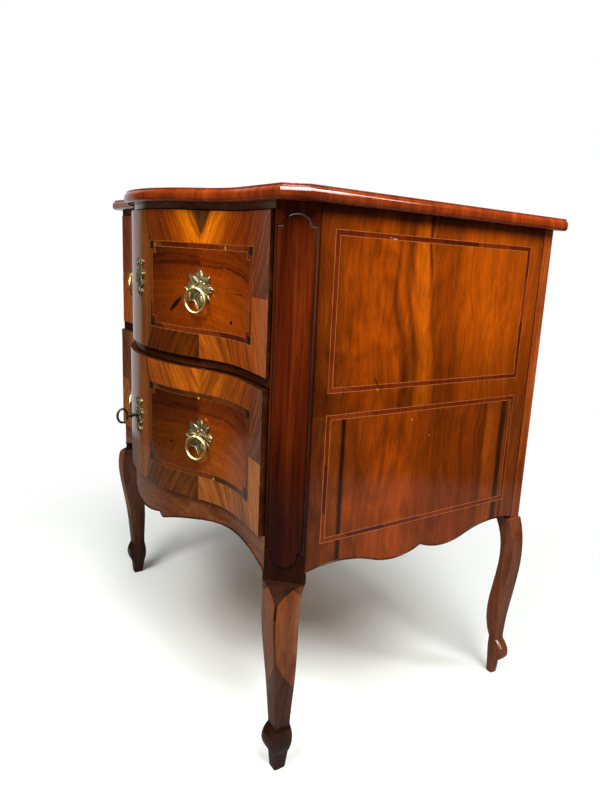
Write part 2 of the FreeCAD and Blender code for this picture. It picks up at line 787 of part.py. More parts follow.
def make_key(name, key_z):
    """An iron key with its oval bow upright, standing in the lower lock with the bit hanging down."""
    bow_y = crown_y - key_bow_stand
    end_y = inner_face_y + lock_depth - lock_wall - key_end_gap
    middle = V(0, bow_y, key_z)
    crest = middle + V(0, 0, key_bow_rise)
    oval = Part.Wire(Part.Ellipse(crest, middle + V(0, key_bow_reach, 0), middle).toShape())
    section = Part.Wire(Part.Circle(crest, V(0, 1, 0), key_bow_wire).toShape())
    bow = oval.makePipeShell([section], True, False)
    shank_y = bow_y + key_bow_reach
    shank = Part.makeCylinder(key_shank_radius, end_y - shank_y, V(0, shank_y, key_z), V(0, 1, 0))
    collar_spot = V(0, shank_y + key_collar_length, key_z)
    collar = Part.makeCylinder(key_collar_radius, key_collar_length, collar_spot, V(0, 1, 0))
    half = key_bit_thickness / 2
    bit = box(-half, half, end_y - key_bit_length, end_y, key_z - key_bit_reach, key_z)
    nodes[name + "_key"] = bow.fuse([shank, collar, bit]).removeSplitter()
    return bow_y - key_bow_reach - key_bow_wire, middle


make_top()
make_side_panel()
make_front_post()
make_post_panel()
make_rear_post()
make_front_leg()
make_rear_leg()
make_rails()
make_apron()
make_inside()
make_back()

names = ("upper", "lower")
levels = (upper_drawer_z, lower_drawer_z)
heights = (upper_drawer_height, lower_drawer_height)
pivots = {}
for i, drawer in enumerate(names):
    key_z = levels[i] + keyhole_height_shares[i] * heights[i]
    ring_z = levels[i] + handle_height_shares[i] * heights[i]
    make_drawer_box(drawer, levels[i], heights[i], key_z)
    make_lock(drawer, levels[i], heights[i], key_z)
    make_escutcheon(drawer, key_z)
    pivots[drawer] = make_handles(drawer, ring_z, handle_angle_shares[i] * swell_angle)
key_front, key_middle = make_key("lower", key_z)

# Rest pose: the lower drawer stands a little ajar, as its key in the lock suggests
ajar = V(0, -drawer_ajar, 0)
middle_y = (key_front - drawer_ajar + back_y + top_rear_overhang) / 2
to_frame = V(0, -middle_y, 0)

for name, shape in nodes.items():
    shape.translate(to_frame + ajar if name.startswith("lower_") else to_frame)
    shape.exportStep("parts/" + name + ".step")


def rounded(point):
    return tuple(round(c, 5) for c in point)


for drawer, (pivot, axis) in pivots.items():
    moved = pivot + to_frame + (ajar if drawer == "lower" else V(0, 0, 0))
    print(drawer, "ring pivot, right", rounded(moved), "axis", rounded(axis))
print("key axis through", rounded(key_middle + to_frame + ajar))
print("frame shift in y", round(-middle_y, 3))
for name, shape in nodes.items():
    if not shape.isValid() or len(shape.Solids) == 0:
        print("check", name, shape.isValid(), len(shape.Solids))
print(len(nodes), "nodes")
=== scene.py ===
# %% [markdown]
# # A serpentine chest of drawers in walnut
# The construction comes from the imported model: every board, post, leg and lock at its real size. This
# lesson gives those pieces their looks. It loads the frame, sets up a camera and a studio, mixes the
# finishes of old French-polished walnut, brass and iron, and then dresses the pieces one group at a time.

# %% Load the frame
import json
import math

import bpy
from mathutils import Matrix, Quaternion, Vector

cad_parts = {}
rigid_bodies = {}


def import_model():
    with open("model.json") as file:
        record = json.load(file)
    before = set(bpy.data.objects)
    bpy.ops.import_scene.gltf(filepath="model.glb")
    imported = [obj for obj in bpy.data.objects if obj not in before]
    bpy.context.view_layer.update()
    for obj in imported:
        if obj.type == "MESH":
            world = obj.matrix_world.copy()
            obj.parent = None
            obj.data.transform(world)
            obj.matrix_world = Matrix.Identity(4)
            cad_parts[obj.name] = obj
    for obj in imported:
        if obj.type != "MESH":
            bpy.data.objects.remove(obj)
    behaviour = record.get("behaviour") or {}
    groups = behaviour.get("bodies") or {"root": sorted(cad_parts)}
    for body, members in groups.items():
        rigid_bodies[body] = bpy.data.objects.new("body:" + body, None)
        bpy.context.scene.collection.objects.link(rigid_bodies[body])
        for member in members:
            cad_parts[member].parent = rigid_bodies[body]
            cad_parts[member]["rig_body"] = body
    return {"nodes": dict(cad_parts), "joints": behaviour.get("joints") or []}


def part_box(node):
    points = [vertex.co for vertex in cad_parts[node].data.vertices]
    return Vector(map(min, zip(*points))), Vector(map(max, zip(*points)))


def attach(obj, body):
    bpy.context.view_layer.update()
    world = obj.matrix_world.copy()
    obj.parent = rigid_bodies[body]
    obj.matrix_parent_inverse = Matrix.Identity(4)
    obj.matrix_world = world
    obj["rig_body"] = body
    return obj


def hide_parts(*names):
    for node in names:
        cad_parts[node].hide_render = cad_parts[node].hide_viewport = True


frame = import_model()
bpy.context.view_layer.update()
nodes = frame["nodes"]

# %% [markdown]
# ## Camera
# The photograph was taken from the right, a little below the level of the top, with a moderate wide lens
# held slightly askew. The camera could be aimed with a target, but a place and three angles say it all, so
# the camera stands at the same place with the same turn, tilt and roll. The picture was cropped off centre,
# so a small lens shift moves the middle of the view.

# %% Camera at the photograph's place
camera_data = bpy.data.cameras.new("camera")
camera = bpy.data.objects.new("camera", camera_data)
bpy.context.scene.collection.objects.link(camera)
bpy.context.scene.camera = camera
camera_turn, camera_tilt, camera_roll = (math.radians(a) for a in (53.378, 12.226, 3.776))
towards_camera = Vector((math.sin(camera_turn) * math.cos(camera_tilt),
                         -math.cos(camera_turn) * math.cos(camera_tilt),
                         math.sin(camera_tilt)))
camera.location = (1.0615, -0.5839, 0.7599)
camera.rotation_mode = "QUATERNION"
level_view = (-towards_camera).to_track_quat("-Z", "Y")
camera.rotation_quaternion = level_view @ Quaternion((0, 0, 1), camera_roll)
camera_data.lens = 28.58
camera_data.shift_x = -0.0802
camera_data.shift_y = -0.0070
camera_data.clip_start = 0.01
bpy.context.scene.view_settings.view_transform = "Standard"
print("camera", tuple(round(c, 3) for c in camera.location))

# %% [markdown]
# ## Colours and nodes
# Colours are written as they look on a screen, as hex values, and one function turns them into the linear
# light that the renderer works in. A second small function adds a shader node: it takes the node's kind,
# what goes into its sockets, and its settings, and hands back one of its outputs to plug in elsewhere.

# %% Two helpers for every finish


def linear(hex_colour):
    """An sRGB hex colour as linear RGBA."""
    parts = [int(hex_colour[i:i + 2], 16) / 255 for i in (1, 3, 5)]
    return [c / 12.92 if c <= 0.04045 else ((c + 0.055) / 1.055) ** 2.4 for c in parts] + [1.0]


def add(tree, kind, inputs=(), out=0, stops=None, **settings):
    """Adds a node, fills its inputs by place or by name, and gives back one output."""
    made = tree.nodes.new("ShaderNode" + kind)
    for name, value in settings.items():
        setattr(made, name, value)
    for place, value in (inputs.items() if isinstance(inputs, dict) else enumerate(inputs)):
        if isinstance(value, bpy.types.NodeSocket):
            tree.links.new(value, made.inputs[place])
        elif value is not None:
            made.inputs[place].default_value = value
    if stops:
        ramp = made.color_ramp.elements
        while len(ramp) < len(stops):
            ramp.new(1.0)
        for element, (place, colour) in zip(ramp, stops):
            element.position = place
            element.color = linear(colour) if isinstance(colour, str) else (colour, colour, colour, 1)
    return made.outputs[out] if made.outputs else made


def new_material(name):
    """An empty node material and its tree."""
    material = bpy.data.materials.new(name)
    material.use_nodes = True
    material.node_tree.nodes.clear()
    return material, material.node_tree


print("walnut in linear light", [round(c, 3) for c in linear("#8A3D0A")])

# %% [markdown]
# ## Studio
# The chest stands on a sheet of white paper in a soft studio. Large lamps light it from the right, the
# front and above, a narrow strip lights it from behind, and the paper keeps a deep shadow under the legs.
# The sheet fades out at its rim, where the white background takes over without a visible edge. Polish
# mirrors whatever stands around the chest. White boards and black cloth could stand there, but they would
# change the light on the wood as well, so the kind of ray picks what the polish sees. It sees a dim sheet,
# a pale backdrop behind the chest on the left and two bright windows, so it gets its long highlights, and
# the wood keeps its colour between them.

# %% Floor and background
floor_radius, floor_rim = 1.60, 0.12
fade_start, fade_end = 0.52, 1.08
sheet_front = (0.60, -0.80, 0.0)
dim_start, dim_end = 0.25, 0.55
dim_tones = 0.16, 0.05
bpy.ops.object.select_all(action="DESELECT")
bpy.ops.mesh.primitive_circle_add(vertices=128, radius=floor_radius, fill_type="NGON")
floor = bpy.context.object
floor.name = "paper_floor"

# Matt paper: white to the eye, a little grey to the light that it throws back, and dim in the polish
paper, tree = new_material("white paper sweep")
place = add(tree, "TexCoord", out=3)
rays = add(tree, "LightPath").node.outputs
distance = add(tree, "VectorMath", [place], out=1, operation="LENGTH")
rim = add(tree, "MapRange", [distance, fade_start, fade_end, 0.0, 1.0], interpolation_type="SMOOTHSTEP")
far_rim = add(tree, "MapRange", [distance, floor_radius - floor_rim, floor_radius, 0.0, 1.0])
rim = add(tree, "MixRGB", [rays["Is Glossy Ray"], rim, far_rim])
ahead = add(tree, "VectorMath", [place, sheet_front], out=1, operation="DOT_PRODUCT")
dim_tone = add(tree, "MapRange", [ahead, dim_start, dim_end, *dim_tones])
sheet = add(tree, "BsdfDiffuse", [linear("#CFCFCC")])
for ray, colour in (("Is Camera Ray", linear("#F8FCF9")), ("Is Glossy Ray", dim_tone)):
    seen = add(tree, "BsdfDiffuse", [colour])
    sheet = add(tree, "MixShader", [rays[ray], sheet, seen])
clear = add(tree, "BsdfTransparent")
add(tree, "OutputMaterial", [add(tree, "MixShader", [rim, sheet, clear])])
floor.data.materials.append(paper)
print("floor radius", floor_radius)

# %% World: white behind, a backdrop in the mirror on the left, a soft room for the light
white = linear("#FFFFFF")
room_light = 0.19
backdrop_way = (-0.81, 0.59, 0.0)
backdrop_tones = [(0.53, 0.02), (0.64, 0.42), (0.97, 0.70)]

world = bpy.data.worlds.new("studio")
bpy.context.scene.world = world
world.use_nodes = True
tree = world.node_tree
tree.nodes.clear()
rays = add(tree, "LightPath").node.outputs
way = add(tree, "TexCoord", out=0)
heading = add(tree, "VectorMath", [way, backdrop_way], out=1, operation="DOT_PRODUCT")
backdrop = add(tree, "ValToRGB", [heading], stops=backdrop_tones)
mirrored = add(tree, "Math", [rays["Is Glossy Ray"], backdrop], operation="MULTIPLY")
shown = add(tree, "Math", [mirrored, rays["Is Transmission Ray"]], operation="MAXIMUM")
shown = add(tree, "Math", [shown, rays["Is Camera Ray"]], operation="MAXIMUM")
room = add(tree, "Background", [linear("#FFFDFA"), room_light])
dark, bright = (add(tree, "Background", [white, strength]) for strength in (0.0, 1.0))
unseen = add(tree, "MixShader", [rays["Is Glossy Ray"], room, dark])
surround = add(tree, "MixShader", [shown, unseen, bright])
print("backdrop towards", backdrop_way)

# %% Two windows that only the polish mirrors
# The windows stand on a ball of directions round the chest, so their places are shares of its radius
side_window_back, side_window_half_width = 0.47, 0.09
side_window_up, side_window_half_height = 0.56, 0.22
front_window_way, front_window_rim = (0.27, -0.665, 0.69), 0.88
window_light = 16.0

right, back, up = add(tree, "SeparateXYZ", [way]).node.outputs
window = add(tree, "Math", [back, side_window_back, side_window_half_width], operation="COMPARE")
upright_span = add(tree, "Math", [up, side_window_up, side_window_half_height], operation="COMPARE")
on_right = add(tree, "Math", [right, 0.0], operation="GREATER_THAN")
for limit in (upright_span, on_right):
    window = add(tree, "Math", [window, limit], operation="MULTIPLY")
in_front = add(tree, "VectorMath", [way, front_window_way], out=1, operation="DOT_PRODUCT")
in_front = add(tree, "Math", [in_front, front_window_rim], operation="GREATER_THAN")
window = add(tree, "Math", [window, in_front], operation="MAXIMUM")
for factor in (rays["Is Glossy Ray"], window_light):
    window = add(tree, "Math", [window, factor], operation="MULTIPLY")
windows = add(tree, "Background", [white, window])
add(tree, "OutputWorld", [add(tree, "AddShader", [surround, windows])])
print("world nodes", len(tree.nodes))

# %% Lamps


def soft_lamp(name, place, aim, width, height, watts):
    """A soft box that looks at a point of the chest."""
    lamp_data = bpy.data.lights.new(name, "AREA")
    lamp_data.shape = "RECTANGLE"
    lamp_data.size = width
    lamp_data.size_y = height
    lamp_data.energy = watts
    lamp = bpy.data.objects.new(name, lamp_data)
    bpy.context.scene.collection.objects.link(lamp)
    lamp.location = place
    lamp.rotation_mode = "QUATERNION"
    lamp.rotation_quaternion = (Vector(aim) - Vector(place)).to_track_quat("-Z", "Y")


soft_lamp("key_softbox", place=(2.0, -0.1, 2.7), aim=(0.2, 0.0, 0.45), width=1.3, height=1.3, watts=82)
soft_lamp("front_softbox", place=(0.75, -1.8, 2.9), aim=(0.0, -0.1, 0.5), width=1.2, height=1.2, watts=76)
soft_lamp("back_strip", place=(1.56, 1.20, 2.60), aim=(0.385, -0.1, 0.83), width=0.22, height=1.5, watts=19)
soft_lamp("top_softbox", place=(0.0, -0.3, 3.0), aim=(0.0, -0.1, 0.0), width=1.2, height=1.2, watts=22)

# %% [markdown]
# ## Walnut
# Sawn walnut shows broad wandering streaks, darker veins, fine fibres that run with them, and short dark
# pores. All four are noise stretched along the grain, so they go into one node group that every wood
# shares. It takes a place whose Z runs along the grain, in metres, and each pattern has its width across
# the grain. A second input says how much the grain sways: little in a straight post, much in a sheet cut
# for show. Real fibres and pores are finer than a millimetre; here they are as coarse as they need to be to
# show.

# %% Walnut figure, shared by every wood
# Each pattern's name, its width across the grain in metres, how fast it changes along the grain as a share
# of how fast it changes across, and its detail
figure_parts = (("Streak", 0.020, 0.09, 3.0), ("Vein", 0.0060, 0.035, 3.0), ("Fibre", 0.0016, 0.02, 2.0),
                ("Pore", 0.0012, 0.07, 1.0))
figure_contrast = 0.6
pore_span = 0.60, 0.72
sway_length, sway_reach = 0.14, 0.035
noise_middle = (0.5, 0.5, 0.5)

figure = bpy.data.node_groups.new("walnut figure", "ShaderNodeTree")
figure.interface.new_socket("Place", in_out="INPUT", socket_type="NodeSocketVector")
figure.interface.new_socket("Sway", in_out="INPUT", socket_type="NodeSocketFloat")
for part in figure_parts:
    figure.interface.new_socket(part[0], in_out="OUTPUT", socket_type="NodeSocketFloat")
place, bend = figure.nodes.new("NodeGroupInput").outputs[:2]
sway = add(figure, "TexNoise", {"Vector": place, "Scale": 1 / sway_length, "Detail": 2.0}, out=1)
sway = add(figure, "VectorMath", [sway, noise_middle], operation="SUBTRACT")
sway = add(figure, "VectorMath", [sway, (sway_reach, sway_reach, 0.0)], operation="MULTIPLY")
sway = add(figure, "VectorMath", {0: sway, "Scale": bend}, operation="SCALE")
swayed = add(figure, "VectorMath", [place, sway], operation="ADD")
group_out = figure.nodes.new("NodeGroupOutput")
for socket, width, stretch, detail in figure_parts:
    along = add(figure, "VectorMath", [swayed, (1.0, 1.0, stretch)], operation="MULTIPLY")
    grain = add(figure, "TexNoise", {"Vector": along, "Scale": 1 / width, "Detail": detail,
                                     "Roughness": figure_contrast})
    if socket == "Pore":
        grain = add(figure, "MapRange", [grain, *pore_span, 0.0, 1.0])
    figure.links.new(grain, group_out.inputs[socket])
print("figure outputs", [s.name for s in group_out.inputs if s.name])

# %% [markdown]
# ## French polish
# Shellac fills the pores and lies over the wood as a clear glossy skin. One shiny surface could stand for
# both, but then the wood's own grain would break up the mirror, so the wood here has no shine of its own
# and a clear coat has it all. The skin was rubbed on by hand and waves a little, which a faint bump gives.

# %% French polish over a wood colour
# Noise keeps near one half. These spans of it get the whole of a tone, from a sharp figure to a soft one.
narrow_span, middle_span, wide_span = (0.3, 0.7), (0.25, 0.75), (0.2, 0.8)
ripple_width, ripple_height, ripple_strength = 0.035, 0.002, 0.03
wood_rough = 0.40, 0.55
wood_ior, shellac_ior = 1.45, 1.5
bare_shine = 0.25


def figured(tree, place, sway=1.0):
    """The outputs of the walnut figure at a place."""
    return add(tree, "Group", [place, sway], node_tree=figure).node.outputs


def polished(tree, colour, grain, veins=0.16, fibres=0.27, pores=0.45, coat=1.0, gloss=0.10):
    """Shades wood under polish: veins, fibres and pores show in the colour, and the coat mirrors the room."""
    for pattern, span, depth in (("Vein", narrow_span, veins), ("Fibre", middle_span, fibres)):
        shade = add(tree, "MapRange", [grain[pattern], *span, 1 - depth, 1 + depth])
        colour = add(tree, "MixRGB", [1.0, colour, shade], blend_type="MULTIPLY")
    filled = add(tree, "Math", [grain["Pore"], pores], operation="MULTIPLY")
    colour = add(tree, "MixRGB", [filled, colour, linear("#1C0903")])
    rough = add(tree, "MapRange", [grain["Streak"], *wide_span, *wood_rough])
    place = add(tree, "TexCoord", out=3)
    ripple = add(tree, "TexNoise", {"Vector": place, "Scale": 1 / ripple_width, "Detail": 2.0})
    bump = add(tree, "Bump", {"Height": ripple, "Strength": ripple_strength, "Distance": ripple_height})
    shader = add(tree, "BsdfPrincipled", {
        "Base Color": colour, "Roughness": rough, "IOR": wood_ior,
        "Specular IOR Level": 0.0 if coat else bare_shine,
        "Coat Weight": coat, "Coat Roughness": gloss, "Coat IOR": shellac_ior, "Coat Normal": bump})
    add(tree, "OutputMaterial", [shader])


print("polish ripples every", ripple_width)

# %% [markdown]
# ## Solid woods
# Posts, legs and rails are solid walnut, stained dark. The linings of the drawers are oak and the unseen
# boards are pine, both planed and left bare. Each could have its own nodes, but they differ only in tones
# and in the way the grain runs, so one function makes them all: it turns the grain of the piece on to Z and
# colours the streaks from dark to light.

# %% Streaks and lengths of wood
streak_stops = 0.25, 0.5, 0.75


def streaks(tree, grain, tones):
    """The colour of wood whose streaks run from the first tone, the darkest, to the last."""
    return add(tree, "ValToRGB", [grain["Streak"]], stops=list(zip(streak_stops, tones)))


def lengths(tree, way, length):
    """A random number for each length of wood that follows the last along a way."""
    count = add(tree, "Math", [way, length], operation="DIVIDE")
    count = add(tree, "Math", [count], operation="FLOOR")
    return add(tree, "TexWhiteNoise", {"W": count}, noise_dimensions="1D")


print("streaks turn at", streak_stops)

# %% Darkening towards the foot, boards and solid wood
board_tones = 0.80, 1.15
joint_shares = 0.003, 0.010
joint_dirt = 0.9


def darkened_to_foot(tree, colour, low, high, left):
    """Darkens a colour downwards between two heights, to what is left of it at the foot."""
    height = add(tree, "SeparateXYZ", [add(tree, "TexCoord", out=3)], out=2)
    shade = add(tree, "MapRange", [height, low, high, left, 1.0], interpolation_type="SMOOTHSTEP")
    return add(tree, "MixRGB", [1.0, colour, shade], blend_type="MULTIPLY")


def boarded(tree, colour, foot, board_height):
    """Boards laid edge to edge from the foot up, each with its own tone, and dirt in the joints."""
    height = add(tree, "SeparateXYZ", [add(tree, "TexCoord", out=3)], out=2)
    rise = add(tree, "Math", [height, foot], operation="SUBTRACT")
    tone = add(tree, "MapRange", [lengths(tree, rise, board_height), 0.0, 1.0, *board_tones])
    colour = add(tree, "MixRGB", [1.0, colour, tone], blend_type="MULTIPLY")
    from_joint = add(tree, "Math", [rise, board_height / 2], operation="PINGPONG")
    joint_edges = [share * board_height for share in joint_shares]
    joint = add(tree, "MapRange", [from_joint, *joint_edges, joint_dirt, 0.0])
    return add(tree, "MixRGB", [joint, colour, linear("#1E140A")])


def solid_wood(name, turn, tones, veins=0.16, sway=1.0, coat=1.0, gloss=0.10, foot_darkening=None, boards=None):
    """Solid wood. The turn brings the piece's grain on to Z; the tones run from dark to light."""
    material, tree = new_material(name)
    place = add(tree, "Mapping", {"Vector": add(tree, "TexCoord", out=3), "Rotation": turn})
    grain = figured(tree, place, sway)
    colour = streaks(tree, grain, tones)
    if foot_darkening:
        colour = darkened_to_foot(tree, colour, *foot_darkening)
    if boards:
        colour = boarded(tree, colour, *boards)
    polished(tree, colour, grain, veins, coat=coat, gloss=gloss)
    return material


print("board tones", board_tones)

# %% Walnut, oak and pine
upright = (0.0, 0.0, 0.0)
sideways = (0.0, math.pi / 2, 0.0)
lengthways = (math.pi / 2, 0.0, 0.0)
oak_tones = ("#7A5A34", "#9A7648", "#B08C5C")
pine_tones = ("#8A6236", "#A87C48", "#C09660")
# Straight-grained stained walnut, glossy, and almost black towards the foot
post_wood = solid_wood("dark walnut posts", upright, ("#3F1304", "#571B04", "#702B09"),
                       veins=0.40, sway=0.15, foot_darkening=(0.36, 0.62, 0.24))
# Old wax and dirt with painted shade: a dull, nearly black finish for grooves, edges and steps in shade
groove_dirt_and_shade = solid_wood("dirt and painted shade in grooves", upright, ("#160704", "#220B05", "#301208"), gloss=0.5)
# Redder walnut, less stained, that glows at the back corners
rear_post_wood = solid_wood("red walnut rear posts", upright, ("#7A300E", "#A64C1A", "#BE6428"),
                            veins=0.25, foot_darkening=(0.34, 0.66, 0.55))
# Plain brown walnut with a soft upright grain
rear_leg_wood = solid_wood("walnut rear legs", upright, ("#4C2511", "#6C391F", "#82492A"),
                           veins=0.25, sway=0.5)
# Dark rails and edges with little polish left, so they stay quiet between the drawers
rail_wood = solid_wood("dark walnut rails", sideways, ("#261006", "#3E1C0C", "#5A2C14"), coat=0.3)
# A walnut strip under the top, lightened and greyed: painted sheen and light where the overhang shades it
top_rail_wood_painted_sheen = solid_wood("walnut top rail with painted sheen", sideways, ("#5A3826", "#7E523A", "#94664A"))
# Brown walnut of the apron, a tone lighter than the rails
apron_wood = solid_wood("dark walnut apron", sideways, ("#50260F", "#74401F", "#8C522C"))
# Planed oak and pine without polish: pale, matt and plainly streaked
oak_long = solid_wood("oak along", lengthways, oak_tones, coat=0.0)
oak_wide = solid_wood("oak across", sideways, oak_tones, coat=0.0)
pine_wide = solid_wood("pine across", sideways, pine_tones, coat=0.0)
pine_long = solid_wood("pine along", lengthways, pine_tones, coat=0.0)
pine_up = solid_wood("pine upright", upright, pine_tones, coat=0.0)
print("materials so far", len(bpy.data.materials))

# %% [markdown]
# ## Mouldings and top
# Short lengths of walnut were glued on edge round the top, so the grain of the mouldings runs over the
# rounded edge, across its length. The board between them carries two leaves of one veneer, opened like a
# book, so the figure of one half mirrors the other. The same walnut figure serves for both, read at a place
# that is folded over the edge for the mouldings and at the middle line for the board.

# %% Cross-grained mouldings and the veneer of the top
moulding_length = 0.085
moulding_tones = 0.86, 1.10
leaf_shift = 0.02


def cross_grain(name, along_axis):
    """Walnut in short lengths on edge. It runs along an axis, 0 or 1, and its grain goes over the edge."""
    material, tree = new_material(name)
    spot = add(tree, "SeparateXYZ", [add(tree, "TexCoord", out=3)]).node.outputs
    over = add(tree, "Math", [spot[1 - along_axis], spot[2]], operation="SUBTRACT")
    grain = figured(tree, add(tree, "CombineXYZ", [spot[along_axis], 0.0, over]))
    colour = streaks(tree, grain, ("#6A2408", "#8A330C", "#A24614"))
    tone = lengths(tree, spot[along_axis], moulding_length)
    tone = add(tree, "MapRange", [tone, 0.0, 1.0, *moulding_tones])
    polished(tree, add(tree, "MixRGB", [1.0, colour, tone], blend_type="MULTIPLY"), grain, veins=0.10)
    return material


# Red-brown walnut whose short lengths differ a little in tone, with a bright polish along the rounded edge
front_moulding_wood = cross_grain("cross-grained front moulding", 0)
side_moulding_wood = cross_grain("cross-grained side moulding", 1)

# Orange-brown walnut with a lively figure that mirrors itself in the middle
top_veneer, tree = new_material("book-matched walnut top")
spot = add(tree, "SeparateXYZ", [add(tree, "TexCoord", out=3)]).node.outputs
matched = add(tree, "Math", [spot[0]], operation="ABSOLUTE")
leaf_side = add(tree, "Math", [spot[0]], operation="SIGN")
leaf_place = add(tree, "Math", [leaf_side, leaf_shift], operation="MULTIPLY")
grain = figured(tree, add(tree, "CombineXYZ", [matched, leaf_place, spot[1]]))
polished(tree, streaks(tree, grain, ("#5A2105", "#843A05", "#9E4C0A")), grain, veins=0.25)
print("mouldings", front_moulding_wood.name, side_moulding_wood.name)

# %% [markdown]
# ## Inlaid frames
# The sides and the drawer fronts carry the same inlay: a band of dark red wood between two hair-thin pale
# lines. On the drawers a small dark square sits at each corner of the band and the inner line steps round
# it. Strips of mesh could lie on the wood, but real inlay is flush, so it belongs in the material. The
# distance to a rectangle gives all of it, and one node group does the work. It takes a place measured from
# the middle of the frame and gives back a mask for the field, the band, the lines and the squares.

# %% Inlaid frame as a node group
line_width = 0.0008
square_gap = 0.006
inlay = bpy.data.node_groups.new("inlaid frame", "ShaderNodeTree")
for socket in ("Across", "Up", "Half Width", "Half Height", "Band Width", "Notch"):
    inlay.interface.new_socket(socket, in_out="INPUT", socket_type="NodeSocketFloat")
for socket in ("Field", "Band", "Line", "Square"):
    inlay.interface.new_socket(socket, in_out="OUTPUT", socket_type="NodeSocketFloat")
group_in = inlay.nodes.new("NodeGroupInput").outputs
group_out = inlay.nodes.new("NodeGroupOutput").inputs
outs = []
for way, half in (("Across", "Half Width"), ("Up", "Half Height")):
    reach = add(inlay, "Math", [group_in[way]], operation="ABSOLUTE")
    outs.append(add(inlay, "Math", [reach, group_in[half]], operation="SUBTRACT"))
outer = add(inlay, "Math", outs, operation="MAXIMUM")
corner = add(inlay, "Math", outs, operation="MINIMUM")
corner = add(inlay, "Math", [corner, group_in["Notch"]], operation="ADD")
inner = add(inlay, "Math", [outer, group_in["Band Width"]], operation="ADD")
inner = add(inlay, "Math", [inner, corner], operation="MAXIMUM")
field, inside = (add(inlay, "Math", [edge, 0.0], operation="LESS_THAN") for edge in (inner, outer))
lines = [add(inlay, "Math", [edge, 0.0, line_width / 2], operation="COMPARE") for edge in (outer, inner)]
square = add(inlay, "Math", [corner, square_gap], operation="GREATER_THAN")
inlay.links.new(field, group_out["Field"])
inlay.links.new(add(inlay, "Math", [inside, field], operation="SUBTRACT"), group_out["Band"])
inlay.links.new(add(inlay, "Math", lines, operation="MAXIMUM"), group_out["Line"])
inlay.links.new(add(inlay, "Math", [square, inside], operation="MULTIPLY"), group_out["Square"])
print("inlay outputs", [s.name for s in group_out if s.name])

# %% Laying the frame over a colour
band_stops = 0.0, 0.5, 1.0


def inlaid(tree, colour, field_colour, frame_place, frame_size, tone, bands, line):
    """Lays the inlaid frame over a ground colour, with another colour inside it. The place is measured across
    and up from its middle; the size gives half its width and height, its band and its corners' notch."""
    masks = add(tree, "Group", [*frame_place, *frame_size], node_tree=inlay).node.outputs
    band = add(tree, "ValToRGB", [tone], stops=list(zip(band_stops, bands)))
    for mask, top in (("Field", field_colour), ("Band", band), ("Square", linear("#221D0E")),
                      ("Line", linear(line))):
        colour = add(tree, "MixRGB", [masks[mask], colour, top])
    return colour


print("band tones at", band_stops)

# %% [markdown]
# ## Marks of age
# Old veneer has knots, chips, short cracks and lost splinters. Each is a soft-edged ellipse laid over the
# colour at a place given one by one, because noise would strew them where the chest has none.

# %% Marks of age
mark_core = 0.7


def marked(tree, colour, across, up, marks):
    """Lays marks over a colour. Each has its place across and up, its half length and half width, its tilt in
    degrees and its shade."""
    for mark_x, mark_z, length, width, tilt, shade in marks:
        shift = add(tree, "CombineXYZ", [add(tree, "Math", [across, mark_x], operation="SUBTRACT"),
                                         add(tree, "Math", [up, mark_z], operation="SUBTRACT"), 0.0])
        turned = add(tree, "Mapping", {"Vector": shift, "Rotation": (0.0, 0.0, math.radians(tilt)),
                                       "Scale": (length, width, 1.0)}, vector_type="TEXTURE")
        reach = add(tree, "VectorMath", [turned], out=1, operation="LENGTH")
        mark = add(tree, "MapRange", [reach, mark_core, 1.0, 1.0, 0.0])
        colour = add(tree, "MixRGB", [mark, colour, linear(shade)])
    return colour


print("marks fade from", mark_core)

# %% [markdown]
# ## Side veneer
# Each side is faced with two sheets of walnut whose grain runs upright, one above the other, with the
# inlaid frames let into them. Noise alone would give any walnut, so the sheets' own streaks are listed
# along the depth of the chest: a bright seam of sapwood beside a dark vein on the upper sheet, two
# dark veins near the ends of the lower one. Noise makes the streaks wander, and the shared walnut figure
# adds the fine grain.

# %% The streaks of the two sheets, from the front edge to the back
sheet_seam = 0.5485
side_near, side_far = -0.16, 0.28
upper_sheet = [(0.00, "#682904"), (0.07, "#833704"), (0.15, "#983E03"), (0.22, "#A94703"),
               (0.29, "#A44403"), (0.312, "#6C2B03"), (0.338, "#9C4203"), (0.362, "#763103"),
               (0.385, "#B54F04"), (0.410, "#C75E06"), (0.435, "#B14D04"), (0.450, "#823703"),
               (0.50, "#923B03"), (0.545, "#863703"), (0.58, "#AC4903"), (0.75, "#B44E03"),
               (0.88, "#A34504"), (1.00, "#843A07")]
lower_sheet = [(0.00, "#522107"), (0.062, "#612B0A"), (0.066, "#753407"), (0.115, "#733307"),
               (0.126, "#220E07"), (0.134, "#281004"), (0.143, "#7E3407"), (0.22, "#762F04"),
               (0.34, "#8D3903"), (0.42, "#7E3303"), (0.50, "#762F03"), (0.515, "#672A03"),
               (0.60, "#732E03"), (0.70, "#712D04"), (0.768, "#5E2504"), (0.778, "#7E3A07"),
               (0.80, "#863A06"), (0.842, "#7A3406"), (0.856, "#2A1204"), (0.872, "#411D07"),
               (0.882, "#7A3A08"), (0.896, "#492107"), (0.91, "#75340A"), (1.00, "#612B0A")]
print("streaks", len(upper_sheet), len(lower_sheet))

# %% Wandering streaks
# Waves per metre across, through and up the sheet, so a wave of the sway is about 70 mm wide and 200 mm tall
sway_waves = (14.0, 14.0, 5.0)
side_sway, lower_sway_share = 0.013, 0.12
drift_foot, drift_head, drift_reach = 0.60, 0.71, -0.014

